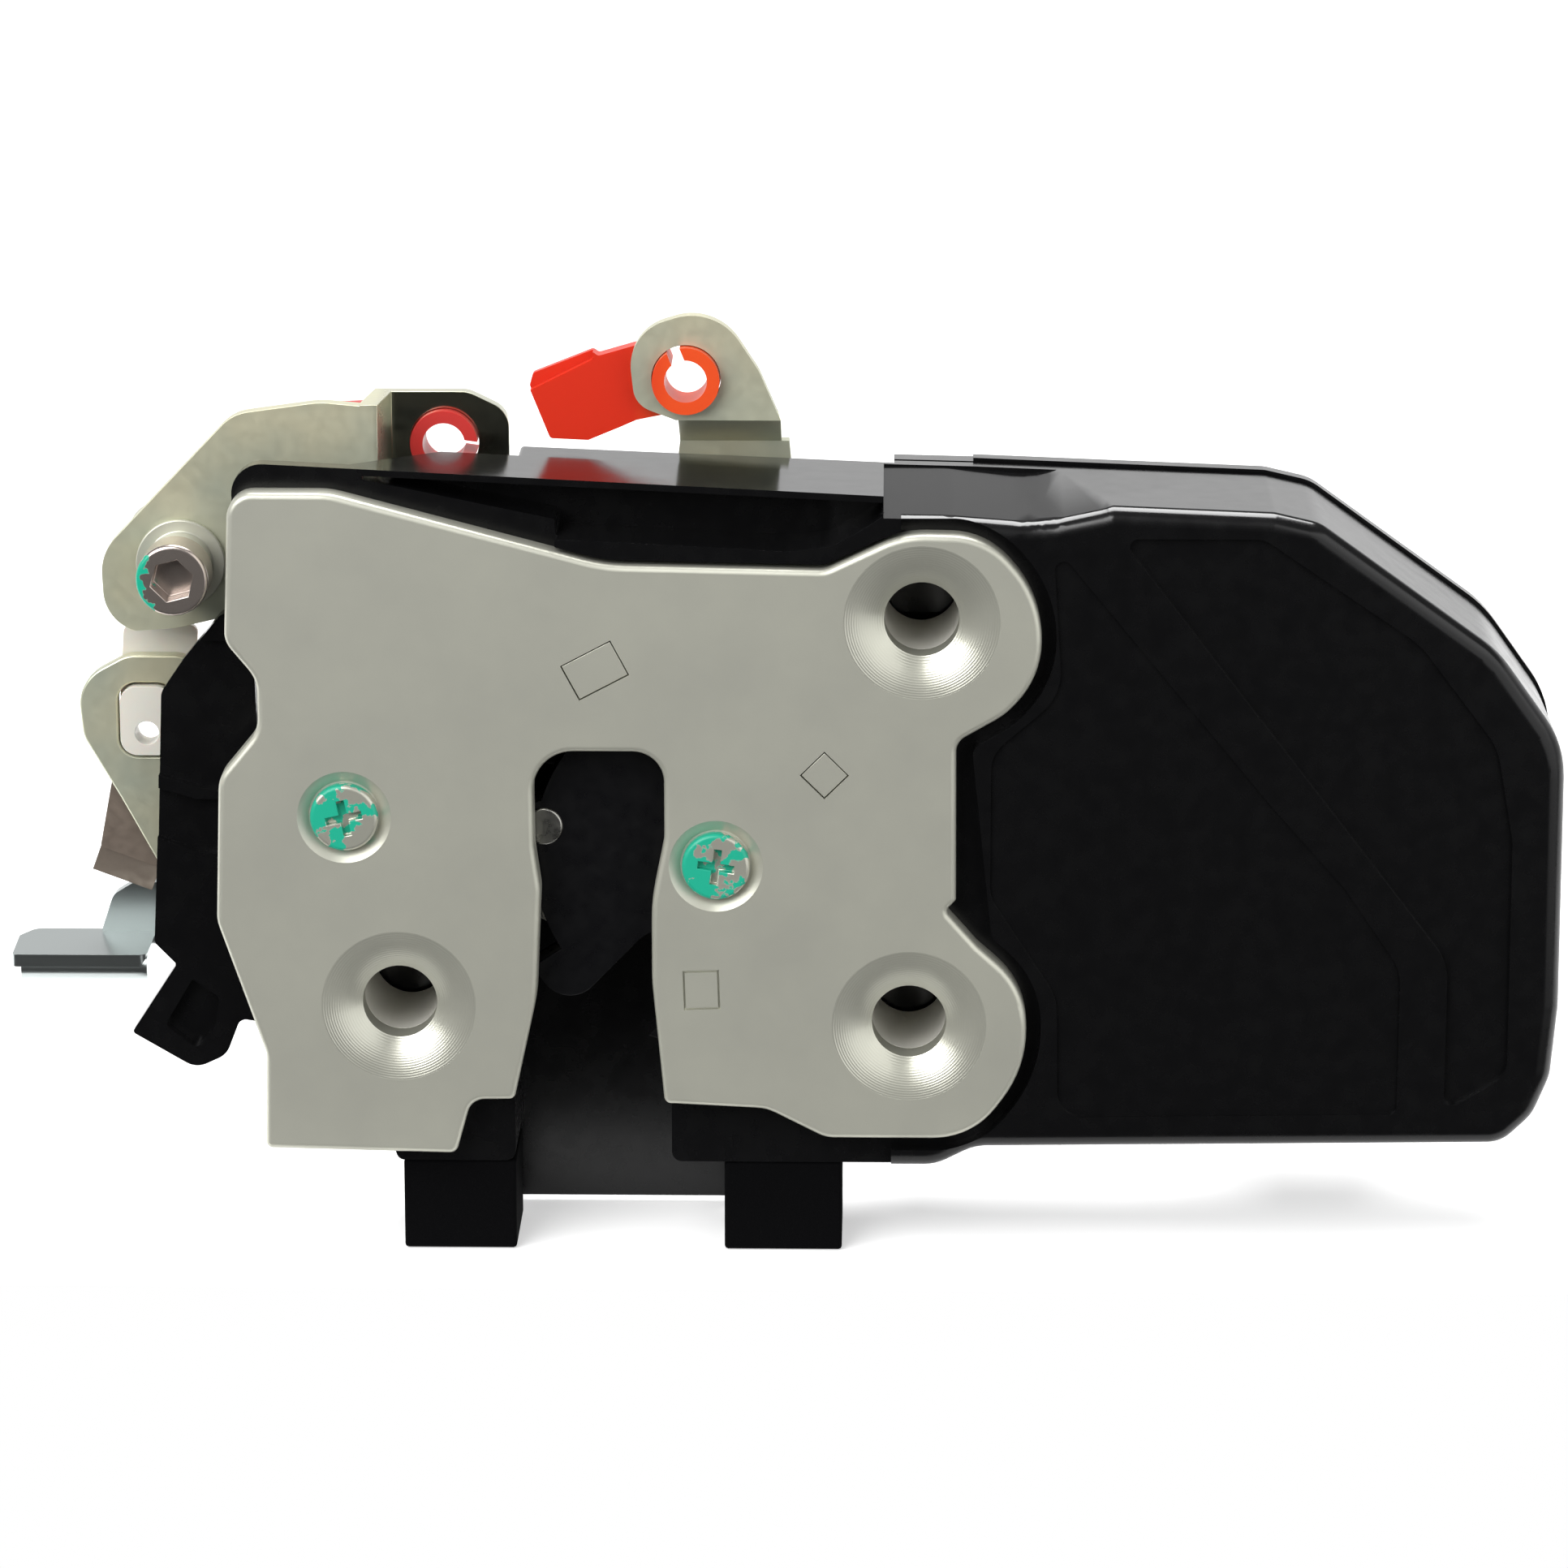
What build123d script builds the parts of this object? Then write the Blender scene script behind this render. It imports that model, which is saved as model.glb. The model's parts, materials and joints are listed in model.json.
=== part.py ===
"""Side-door latch with its electric lock actuator, in millimetres.

The origin is the centre of the lower-left fixing bore, where its wall starts at
the bottom of its dimple. X runs along the latch towards the actuator, Y runs into
the door from the face that shows, and Z is up. Outlines are drawn in (X, Z).
"""
from build123d import *
import math
import os

os.makedirs("parts", exist_ok=True)

# Clearances
RUNNING = 0.06        # radial clearance of a pin in a moving part
LOOSE = 0.2           # radial clearance round something that only passes through
SIDE_GAP = 0.2        # gap between flat parts that slide on each other

# Front plate and its fixing bores
PLATE_T = 3.2
DIMPLE_DEPTH = 2.0
DIMPLE_D = 17.8
DISH_T = 2.0          # how far the dished bores stand out behind the plate
DISH_D = 15.0
DISH_BULGE = 0.34      # how far the dish's wall stands proud of a plain cone
EDGE_ROUND = 0.7
PLATE_RECESS = 1.7     # groove between the plate and the actuator case
BORE_D = 8.6
BORE_LEFT = (0.0, 0.0)
BORE_TOP = (60.0, 45.6)
BORE_RIGHT = (58.8, -2.1)
BORES = [BORE_LEFT, BORE_TOP, BORE_RIGHT]
COLLAR_D = 12.4
COLLAR_L = 7.0
SLEEVE_D = 10.4        # long neck of each collar
SLEEVE_L = 14.6
GUIDE_WALL = 2.0
BORE_END = 1.2         # closed end of the housing behind each fixing bore
GUIDE_D = COLLAR_D + 2 * (LOOSE + GUIDE_WALL)
GUIDE_BACK_D = BORE_D + 2 * (LOOSE + GUIDE_WALL)

# Depths, counted from the outer face of the front plate
FACE = -DIMPLE_DEPTH
PLATE_BACK = FACE + PLATE_T
PIP_T = 0.8
FORK_COVER_FRONT = PLATE_BACK + PIP_T + 0.3
FORK_COVER_T = 5.2
FORK_T = 4.0
PAWL_T = 4.0
POCKET_DEPTH = 9.8
FLOOR_T = 2.0
BACK_PLATE_T = 2.0
FLOOR_FRONT = PLATE_BACK + POCKET_DEPTH
FLOOR_BACK = FLOOR_FRONT + FLOOR_T
BACK_PLATE_BACK = FLOOR_BACK + BACK_PLATE_T
SHELL_BACK = FACE + 21.8
WALL = 2.2
COVER_T = 1.8
CASE_FRONT = FACE + 1.0
CASE_WALL = 2.4
CASE_BACK = FACE + 23.0
LID_T = 3.0

# Fork and pawl
FORK_AXIS = (36.6, 16.9)
PAWL_AXIS = (-5.9, 22.5)
FORK_SWING = 46.0
PAWL_LIFT = 15.0
FORK_POST_D = 10.0
PAWL_POST_D = 8.0
POST_TAIL_D = 6.0
POST_HEAD_D = 8.0
POST_RIVET_T = 1.2
STRIKER = (22.9, 12.0)
MOUTH_W = 10.0
HUB_R = 12.0
FORK_R = 20.6
TOOTH_R = 25.0
TOOTH_GRIP = 3.0      # height of the tooth that the pawl bears on
TIP_R = 24.6
LOWER_ARM_R = 22.4
TOOTH_ANGLE = 150.0
TOOTH_SPAN = 13.0
BACK_SECTOR = (62.0, 200.0)      # parts of the fork, degrees counter-clockwise from +X, latched
JAW_SECTOR = (166.0, 186.0)
LOWER_SECTOR = (195.0, 252.0)
COVER_END = 244.0
JAW_ROUND = 3.6
COVER_EYE_D = 11.4
FORK_PIN = (16.7, 20.4)
FORK_PIN_D = 4.4
FORK_PIN_WALL = 0.8
PAWL_BOSS_R = 6.2

# Cross-head screws in the plate
SCREW_HEAD_D = 7.8
SCREW_HEAD_T = 1.4
SCREW_D = 4.0
SCREW_L = 9.0
SCREW_DIMPLE_D = 10.8
SCREW_DIMPLE_DEPTH = 0.9
SCREW_SLOT_FLOOR = 0.5

# Tenons of the back plate that are staked flush in the front plate
TENON_GAP = 0.14
TENON_A = (22.9, 39.9, 6.2, 4.3, 28.0)
TENON_B = (49.0, 27.7, 3.7, 3.7, 45.0)
PIP = (34.9, 2.1, 3.7, 4.2, 2.0)
LEG_STEP = 1.0


def outline(corners):
    """Closed face from corners (x, z, radius of the round there)."""
    points = [(x, z) for x, z, _ in corners]
    radii = [r for _, _, r in corners]
    return make_face(FilletPolyline(*points, radius=radii, close=True))


def slab(face, front, back):
    """Solid between two depths of a face drawn in (X, Z)."""
    return extrude(Plane.XZ.offset(-front) * face, amount=front - back)


def bar(centre, diameter, front, back):
    """Round bar along Y about a point of (X, Z)."""
    return slab(Pos(*centre) * Circle(diameter / 2), front, back)


def tube(centre, outer, inner, front, back):
    """Round tube along Y about a point of (X, Z)."""
    return slab(Pos(*centre) * (Circle(outer / 2) - Circle(inner / 2)), front, back)


def block(x0, x1, y0, y1, z0, z1):
    """Box between two corners."""
    return Pos((x0 + x1) / 2, (y0 + y1) / 2, (z0 + z1) / 2) * Box(x1 - x0, y1 - y0, z1 - z0)


def funnel(centre, front_d, back_d, front, back):
    """Cone along Y about a point of (X, Z)."""
    x, z = centre
    cone = Cone(front_d / 2, back_d / 2, back - front)
    return Pos(x, (front + back) / 2, z) * Rot(X=-90) * cone


def dish(centre):
    """Dish round a fixing bore: shallow at its rim and steeper towards the bore."""
    rim = Vector(DIMPLE_D / 2, FACE)
    throat = Vector(BORE_D / 2, 0)
    along = (throat - rim).normalized()
    middle = (rim + throat) / 2 + Vector(-along.Y, along.X) * DISH_BULGE
    wall = ThreePointArc(rim, middle, throat)
    sides = [wall, Line(throat, (0, 0)), Line((0, 0), (0, FACE)), Line((0, FACE), rim)]
    return Pos(centre[0], 0, centre[1]) * revolve(make_face(sides), Axis.Y)


def turned(face, centre, angle):
    """A face drawn about (0, 0), turned counter-clockwise and put at a centre."""
    return Pos(*centre) * Rot(Z=angle) * face


def key(peg, gap=0.0):
    """Rectangle of a tenon or pip (x, z, width, height, turn), grown by a gap."""
    x, z, width, height, turn = peg
    return Pos(x, z) * Rot(Z=turn) * Rectangle(width + 2 * gap, height + 2 * gap)


def sector(radius, start, end):
    """Pie slice about (0, 0), degrees counter-clockwise from +X."""
    arc = CenterArc((0, 0), radius, start, end - start)
    return make_face(Curve() + [arc, Line(arc @ 1, (0, 0)), Line((0, 0), arc @ 0)])


def grown(corners, amount):
    """Corners of a clockwise outline, moved out by an amount, with concentric rounds."""
    moved = []
    for i, (x, z, radius) in enumerate(corners):
        before = Vector(*corners[i - 1][:2])
        here = Vector(x, z)
        after = Vector(*corners[(i + 1) % len(corners)][:2])
        way_in = (here - before).normalized()
        way_out = (after - here).normalized()
        normal_in = Vector(-way_in.Y, way_in.X)
        normal_out = Vector(-way_out.Y, way_out.X)
        bend = way_in.X * way_out.Y - way_in.Y * way_out.X
        spot = here + (normal_in + normal_out) * (amount / (1 + normal_in.dot(normal_out)))
        if radius > 0:
            radius = radius + amount if bend < 0 else max(radius - amount, amount)
        moved.append((spot.X, spot.Y, radius))
    return moved


# Front plate outline, clockwise from its top-left corner
def plate_right_corners():
    """Right side of the front plate, round its two lobes."""
    return [(67.2, 55.6, 9.0), (73.6, 48.5, 13.0), (73.6, 39.2, 10.5), (69.5, 34.8, 8.0),
            (64.0, 31.6, 2.0), (64.1, 12.9, 0.5), (62.9, 11.6, 0.7), (66.6, 7.4, 3.0),
            (72.2, 2.4, 10.0), (72.4, -7.2, 14.0), (66.2, -15.8, 9.0)]


def plate_face():
    """Outer outline of the front plate with the striker slot."""
    top = [(-18.5, 60.3, 3.0), (-7.0, 60.3, 10.0), (24.0, 52.1, 20.0), (49.0, 51.6, 3.0),
           (57.8, 55.8, 12.0)]
    slot = [(49.2, -15.8, 4.0), (42.4, -12.3, 5.0), (30.6, -11.7, 0.8), (29.2, 3.0, 20.0),
            (29.2, 12.5, 20.0), (30.7, 20.0, 8.0), (30.7, 30.3, 3.6), (15.7, 30.3, 4.6),
            (15.8, 19.0, 8.0), (16.5, 14.0, 6.0), (15.9, 1.0, 20.0), (13.2, -11.3, 0.8)]
    left = [(8.2, -11.4, 2.0), (6.4, -17.9, 1.0), (-15.7, -17.4, 0.8), (-15.4, -6.0, 3.0),
            (-20.8, 10.0, 4.0), (-20.2, 27.0, 4.0), (-15.6, 32.6, 4.0), (-15.6, 38.6, 4.0),
            (-19.2, 43.0, 3.0)]
    return outline(top + plate_right_corners() + slot + left)


def plate_recess_face():
    """Edge of the actuator case where it goes round the plate."""
    corners = [corner for corner in plate_right_corners() if corner[2] > 1.5]
    ends = [(-40.0, -15.8, 0.0), (-40.0, 55.6, 0.0)]
    return outline(grown(corners + ends, PLATE_RECESS))


def frame_plate():
    """Zinc-plated front plate with three dished bores and two screw dimples."""
    plate = slab(plate_face(), FACE, PLATE_BACK)
    rim = plate.faces().sort_by(Axis.Y)[0].edges()
    plate = fillet(rim, EDGE_ROUND)
    for bore in BORES:
        plate += funnel(bore, DISH_D, DISH_D - 2 * DISH_T, PLATE_BACK, PLATE_BACK + DISH_T)
    for bore in BORES:
        plate -= dish(bore)
        plate -= bar(bore, BORE_D, 0, PLATE_BACK + DISH_T)
    for screw in (FORK_AXIS, PAWL_AXIS):
        seat = FACE + SCREW_DIMPLE_DEPTH
        plate -= funnel(screw, SCREW_DIMPLE_D, SCREW_HEAD_D + 2 * LOOSE, FACE, seat)
        plate -= bar(screw, SCREW_D + 2 * LOOSE, seat, PLATE_BACK)
    for tenon in (TENON_A, TENON_B):
        plate -= slab(key(tenon, TENON_GAP), FACE, PLATE_BACK)
    plate -= slab(key(PIP, 0.25) - key(PIP), FACE, FACE + 0.35)
    plate += slab(key(PIP), PLATE_BACK, PLATE_BACK + PIP_T)
    return plate


def anchor_nuts():
    """Three threaded collars pressed in behind the dished bores."""
    front = PLATE_BACK + DISH_T
    rings = []
    for bore in BORES:
        ring = tube(bore, COLLAR_D, BORE_D, front, front + COLLAR_L)
        ring += tube(bore, SLEEVE_D, BORE_D, front, front + SLEEVE_L)
        rings.append(ring.solid())
    return Compound(children=rings)


# Plastic housing
TOP_LEFT = (-18.4, 63.2)
TOP_RIGHT = (57.0, 59.5)
CASE_LEFT = 56.8
CASE_RIGHT = 133.6
CASE_ROUND = 2.0
CASE_JOIN = CASE_LEFT + 9.2      # where the case's own top edge and the lid's rim begin
TOP_BEND = 59.3
LIP_TOP = [(18.4, 54.9, 0.3), (31.9, 54.3, 0.0), (44.8, 53.6, 4.0), (49.6, 54.2, 4.0),
           (52.3, 55.6, 3.0), (55.4, 57.6, 0.5)]
SHELL_LEFT = 13.4
POCKET_CUT_X = 51.0
FORK_SWEEP = TOOTH_R + 1.2
CHANNEL_LEFT = 13.1
CHANNEL_RIGHT = 31.3
CHANNEL_TOP = 31.4
CHANNEL_BACK = FACE + 20.0
CHANNEL_WALL = 1.2
MOUTH_BOTTOM = -19.7
SILL_RIGHT = 37.4
SILL_BOTTOM = -29.6
WING_FRONT = FACE + 9.0
WING_T = 2.6
WING_RECESS = 1.2
LEVER_ROOM_Z = 45.0
LIFT_PIN_D = 3.6
LIFT_PIN_REACH = 11.0


def case_face():
    """Front outline of the actuator case."""
    right = CASE_RIGHT
    return outline([(CASE_LEFT, TOP_RIGHT[1], 0.0), (CASE_JOIN, TOP_BEND, 2.0), (99.8, 58.0, 3.0),
                    (105.0, 56.8, 5.0), (right - 8.1, 42.0, 14.0), (right - 0.2, 31.0, 12.0),
                    (right, 0.0, 10.0), (right - 0.7, -8.5, 6.0), (right - 2.6, -13.2, 5.0),
                    (right - 6.1, -16.6, 4.0), (CASE_JOIN + 0.5, -17.4, 6.0),
                    (CASE_JOIN - 4.0, MOUTH_BOTTOM, 6.0),
                    (CASE_LEFT, MOUTH_BOTTOM, 0.0)])


def tray_face():
    """Front outline of the latch part of the housing."""
    return outline([(*TOP_LEFT, 3.5), (*TOP_RIGHT, 0.0), (CASE_JOIN, TOP_BEND, 0.0),
                    (CASE_JOIN, -17.0, 0.0), (CASE_LEFT + 2.0, MOUTH_BOTTOM, 0.0),
                    (CHANNEL_RIGHT, MOUTH_BOTTOM, 1.2), (CHANNEL_RIGHT, -9.0, 0.0),
                    (CHANNEL_LEFT, -9.0, 0.0), (CHANNEL_LEFT, MOUTH_BOTTOM, 1.2),
                    (-0.6, MOUTH_BOTTOM, 1.0), (-1.6, -16.0, 1.0), (-14.2, -16.0, 1.0),
                    (-14.0, -6.0, 3.0), (-19.0, 10.0, 3.0), (-18.6, 28.0, 2.0), (-14.4, 33.0, 3.0),
                    (-14.4, 38.0, 3.0), (-17.8, 43.0, 2.0)])


def wing_face():
    """Flange that stands out to the left of the plate, with its cable hook."""
    return outline([(-17.0, 45.5, 0.5), (-20.6, 44.0, 1.0), (-25.0, 38.6, 1.0), (-27.7, 34.6, 2.0),
                    (-28.4, 18.0, 3.0), (-29.1, 4.8, 0.6), (-26.6, 2.2, 0.4), (-32.0, -6.1, 0.4),
                    (-24.6, -10.5, 2.6), (-21.0, -8.8, 2.6), (-19.3, -4.4, 1.0), (-15.5, -5.0, 0.5)])


def wing_recess_faces():
    """Two sunk fields of the flange; the ribs between them run down to the right."""
    low = [(-30.0, 18.1), (-24.1, 15.9), (-21.6, 15.6), (-17.0, 15.4), (-17.0, 22.0), (-21.1, 22.1),
           (-23.9, 22.2), (-30.0, 24.0)]
    high = [(-30.0, 25.6), (-23.6, 23.6), (-21.1, 23.2), (-17.0, 23.0), (-17.0, 41.0), (-30.0, 41.0)]
    return [make_face(Polyline(*corners, close=True)) for corners in (low, high)]


def clip_pocket_face():
    """Recess of the cable hook at the lower left."""
    return outline([(-24.8, 0.4, 0.3), (-28.1, -5.2, 0.6), (-24.4, -8.2, 1.0), (-22.2, -5.4, 1.0),
                    (-21.7, -1.8, 0.5)])


def shelf_pocket_face():
    """Opening of the recess under the top shelf, above the lip."""
    return outline([(-5.8, 61.8, 0.2), (55.6, 58.8, 0.0)] + LIP_TOP[::-1] + [(18.3, 56.8, 0.0)])


def lip_face():
    """Lip that follows the plate's top edge, forward of the recess."""
    return outline(LIP_TOP + [(57.6, 58.2, 0.0), (57.6, 56.0, 0.0), (55.0, 54.95, 3.0),
                              (49.0, 52.1, 3.0), (24.0, 52.6, 10.0), (18.4, 54.0, 0.2)])


def case_top_slope():
    """Wedge of air above the case's top face, which falls towards its front edge."""
    face = outline([(55.6, 57.5, 0.0), (63.0, 57.4, 20.0), (73.2, 56.6, 20.0), (80.5, 58.2, 10.0),
                    (85.0, 59.6, 0.0), (85.0, 66.0, 0.0), (55.6, 66.0, 0.0)])
    return extrude(Plane.XZ.offset(-CASE_FRONT) * face, amount=20.0, dir=(0, 1, 0.09))


def right_recess_face():
    """Shallow field right of the slanting band on the case."""
    right = CASE_RIGHT
    return outline([(82.4, 55.2, 1.0), (98.6, 55.2, 3.0), (right - 17.1, 43.0, 10.0),
                    (right - 8.0, 31.0, 8.0), (right - 6.0, 20.0, 8.0), (right - 5.8, -8.0, 3.0),
                    (right - 13.0, -12.5, 1.0), (right - 13.0, 5.5, 6.0)])


def left_recess_face():
    """Shallow field left of the slanting band on the case."""
    right = CASE_RIGHT - 18.4
    return outline([(74.8, 54.6, 1.0), (100.1, 23.9, 0.0), (108.6, 14.3, 0.0), (right, 4.6, 6.0),
                    (right, -12.8, 1.0),
                    (76.0, -13.4, 3.0), (75.8, 1.0, 6.0), (68.0, 13.0, 4.0), (68.0, 30.0, 4.0),
                    (76.0, 37.0, 6.0)])


def pawl_line():
    """Angle from the pawl's axis to the middle of the latched tooth face, in degrees."""
    tooth = tooth_point()
    return math.degrees(math.atan2(tooth[1] - PAWL_AXIS[1], tooth[0] - PAWL_AXIS[0]))


def tooth_point():
    """Middle of the tooth face when the fork is latched."""
    middle = TOOTH_R - TOOTH_GRIP / 2
    angle = math.radians(TOOTH_ANGLE)
    return FORK_AXIS[0] + middle * math.cos(angle), FORK_AXIS[1] + middle * math.sin(angle)


def pawl_reach():
    """Distance from the pawl's axis to the latched tooth face."""
    return math.dist(tooth_point(), PAWL_AXIS)


def mechanism_pocket():
    """Pocket behind the plate in which the fork and the pawl swing."""
    room = bar(FORK_AXIS, 2 * FORK_SWEEP, PLATE_BACK, FLOOR_FRONT)
    room &= block(-40, POCKET_CUT_X, FACE - 5, CASE_BACK, -40, 80)
    pawl_room = outline([(-13.8, 14.5, 4.0), (2.0, 13.5, 4.0), (16.0, 20.0, 0.0), (19.0, 42.6, 2.0),
                         (2.0, 42.0, 3.0), (-13.4, 31.0, 4.0)])
    return room + slab(pawl_room, PLATE_BACK, FLOOR_FRONT)


def wall_ring(face, wall):
    """Rim of a face, its own outline on the outside."""
    return face - offset(face, amount=-wall)


def main_housing():
    """Black moulding that carries the latch and forms the front of the actuator case."""
    tray = slab(tray_face(), PLATE_BACK, FLOOR_BACK)
    rear = outline([(SHELL_LEFT, 61.3, 0.5), (*TOP_RIGHT, 0.0), (CASE_JOIN, TOP_BEND, 0.0),
                    (CASE_JOIN, -17.0, 0.0), (CASE_LEFT + 2.0, MOUTH_BOTTOM, 0.0), (-0.6, MOUTH_BOTTOM, 1.0), (-0.6, -14.0, 1.0),
                    (SHELL_LEFT, -8.0, 1.0)])
    shell = slab(wall_ring(rear, WALL), FLOOR_BACK - 0.1, SHELL_BACK)
    case = slab(case_face(), CASE_FRONT, CASE_BACK) - case_top_slope()
    front_edge = case.faces().sort_by(Axis.Y)[0].edges()
    front_edge = front_edge.filter_by(lambda e: e.center().X > CASE_LEFT + 1.0)
    case = fillet(front_edge, CASE_ROUND)
    wing = slab(wing_face(), WING_FRONT, WING_FRONT + WING_T)
    left = CHANNEL_LEFT - CHANNEL_WALL
    right = CHANNEL_RIGHT + CHANNEL_WALL
    channel = block(left, right, FLOOR_BACK - 0.1, SHELL_BACK, MOUTH_BOTTOM, CHANNEL_TOP + CHANNEL_WALL)
    channel += block(left, SILL_RIGHT, CHANNEL_BACK, SHELL_BACK, SILL_BOTTOM, MOUTH_BOTTOM + 1)
    body = tray + shell + case + wing + channel
    for bore in BORES:
        body += bar(bore, GUIDE_D, PLATE_BACK, FLOOR_BACK)
        body += bar(bore, GUIDE_BACK_D, FLOOR_BACK - 0.1, SHELL_BACK)
    body -= case_hollow()
    body += drive_supports()
    for spot in LID_SCREWS:
        body -= bar(spot, LID_SCREW_D + 0.02, CASE_BACK - LID_SCREW_L, CASE_BACK + 1)
    body -= slab(plate_recess_face(), FACE - 1, PLATE_BACK)
    body += slab(lip_face(), CASE_FRONT, PLATE_BACK + 0.1)
    body -= case_top_slope()
    body -= mechanism_pocket()
    body -= block(CHANNEL_LEFT, CHANNEL_RIGHT, PLATE_BACK, CHANNEL_BACK, -60, CHANNEL_TOP)
    body -= slab(shelf_pocket_face(), PLATE_BACK - 0.1, FACE + 10.0)
    body -= slab(right_recess_face(), FACE, CASE_FRONT + 0.7)
    body -= slab(left_recess_face(), FACE, CASE_FRONT + 0.35)
    body -= slab(clip_pocket_face(), WING_FRONT, WING_FRONT + 1.6)
    for field in wing_recess_faces():
        body -= slab(field, WING_FRONT - 1, WING_FRONT + WING_RECESS)
    for bore in BORES:
        collar_back = PLATE_BACK + DISH_T + COLLAR_L
        body -= bar(bore, DISH_D + 2 * LOOSE, PLATE_BACK, PLATE_BACK + DISH_T)
        body -= bar(bore, COLLAR_D + 2 * LOOSE, PLATE_BACK, collar_back)
        body -= bar(bore, SLEEVE_D + 2 * LOOSE, PLATE_BACK, SHELL_BACK - BORE_END)
    for post in (FORK_AXIS, PAWL_AXIS):
        body -= bar(post, POST_TAIL_D + 2 * LOOSE, FLOOR_FRONT, FLOOR_BACK)
    for tenon in (TENON_A, TENON_B):
        body -= slab(key(tenon, LEG_STEP + LOOSE), PLATE_BACK, FLOOR_BACK)
    body -= slab(lift_slot_face(), FLOOR_FRONT, FLOOR_BACK)
    body -= block(SHELL_LEFT - 1, SHELL_LEFT + WALL + 1, FLOOR_BACK, BACK_PLATE_BACK + LOOSE, 33.8, 47.0)
    plan = Plane.XY.offset(LEVER_ROOM_Z) * make_face(Polyline((-40, FACE + 5.5), (-5.0, FACE + 5.5),
                                                      (9.6, FACE + 19.8), (SHELL_LEFT, FACE + 19.8),
                                                      (SHELL_LEFT, 60), (-40, 60), close=True))
    body -= extrude(plan, amount=40.0)
    return body


def drive_supports():
    """Ribs, bosses and saddle inside the case for the motor, wheel, worm shaft and lid."""
    floor = CASE_FRONT + CASE_WALL - 0.1
    base = MOTOR_Y - MOTOR_DEPTH / 2
    ribs = block(MOTOR_X + 3, MOTOR_X + 5, floor, base, MOTOR_Z - 7, MOTOR_Z + 7)
    ribs += block(MOTOR_X + 19, MOTOR_X + 21, floor, base, MOTOR_Z - 7, MOTOR_Z + 7)
    for z in (MOTOR_Z - MOTOR_W / 2 - 1.8, MOTOR_Z + MOTOR_W / 2 + 0.2):
        ribs += block(MOTOR_X + 1, MOTOR_X + MOTOR_L - 1, floor, MOTOR_Y, z, z + 1.6)
    boss = bar(WHEEL_AXIS, 2 * AXLE_D, floor, WHEEL_FRONT - 0.3)
    ribs += boss - bar(WHEEL_AXIS, AXLE_D + 0.02, CASE_FRONT + CASE_WALL, WHEEL_FRONT)
    start = WHEEL_X - WORM_L / 2 - 3.0
    saddle = block(start, start + 2.4, floor, MOTOR_Y, MOTOR_Z - 4.5, MOTOR_Z + 4.5)
    place = Plane(origin=(start - 1, MOTOR_Y, MOTOR_Z), x_dir=(0, 0, 1), z_dir=(1, 0, 0))
    ribs += saddle - extrude(place * Circle(BEARING_D / 2), amount=5)
    for spot in LID_SCREWS:
        ribs += bar(spot, LID_BOSS_D, floor, CASE_BACK)
    return ribs


def lift_slot_face():
    """Opening in the floor for the pawl's lifting pin over its swing."""
    start = math.radians(pawl_line())
    faces = []
    for turn in (-6.0, 0.0, PAWL_LIFT / 2, PAWL_LIFT, PAWL_LIFT + 8.0):
        angle = start + math.radians(turn)
        spot = (PAWL_AXIS[0] + LIFT_PIN_REACH * math.cos(angle),
                PAWL_AXIS[1] + LIFT_PIN_REACH * math.sin(angle))
        faces.append(Pos(*spot) * Circle(LIFT_PIN_D / 2 + 0.6))
    whole = faces[0]
    for face in faces[1:]:
        whole += face
    return whole


def room_face():
    """Outline of the room inside the actuator case."""
    right = CASE_RIGHT
    return outline([(69.0, 56.6, 1.0), (99.0, 55.4, 3.0), (right - 10.8, 40.4, 12.0),
                    (right - 2.8, 30.0, 10.0), (right - 2.6, 0.0, 8.0), (right - 3.4, -8.0, 4.0),
                    (right - 7.4, -14.0, 4.0), (77.5, -14.6, 2.0), (77.0, 4.0, 3.0), (69.0, 14.0, 3.0),
                    (69.0, 30.0, 3.0), (77.0, 36.0, 3.0), (77.0, 50.0, 3.0), (69.0, 53.0, 1.0)])


def case_hollow():
    """Room inside the actuator case, open at the back, and the passage of the link."""
    hollow = slab(room_face(), CASE_FRONT + CASE_WALL, CASE_BACK + 1)
    return hollow + block(CASE_LEFT - 1, 78.0, FLOOR_BACK, SHELL_BACK, 20.0, 42.0)


# Back plate with the legs that are staked in the front plate
SIDE_AXIS = (-19.0, 8.0)
LEVER_AXIS = (-25.3, 49.4)
LOCK_AXIS = (38.0, 46.5)
SIDE_PIN_D = 6.0
LOCK_PIN_D = 6.0
BOLT_D = 5.0


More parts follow.
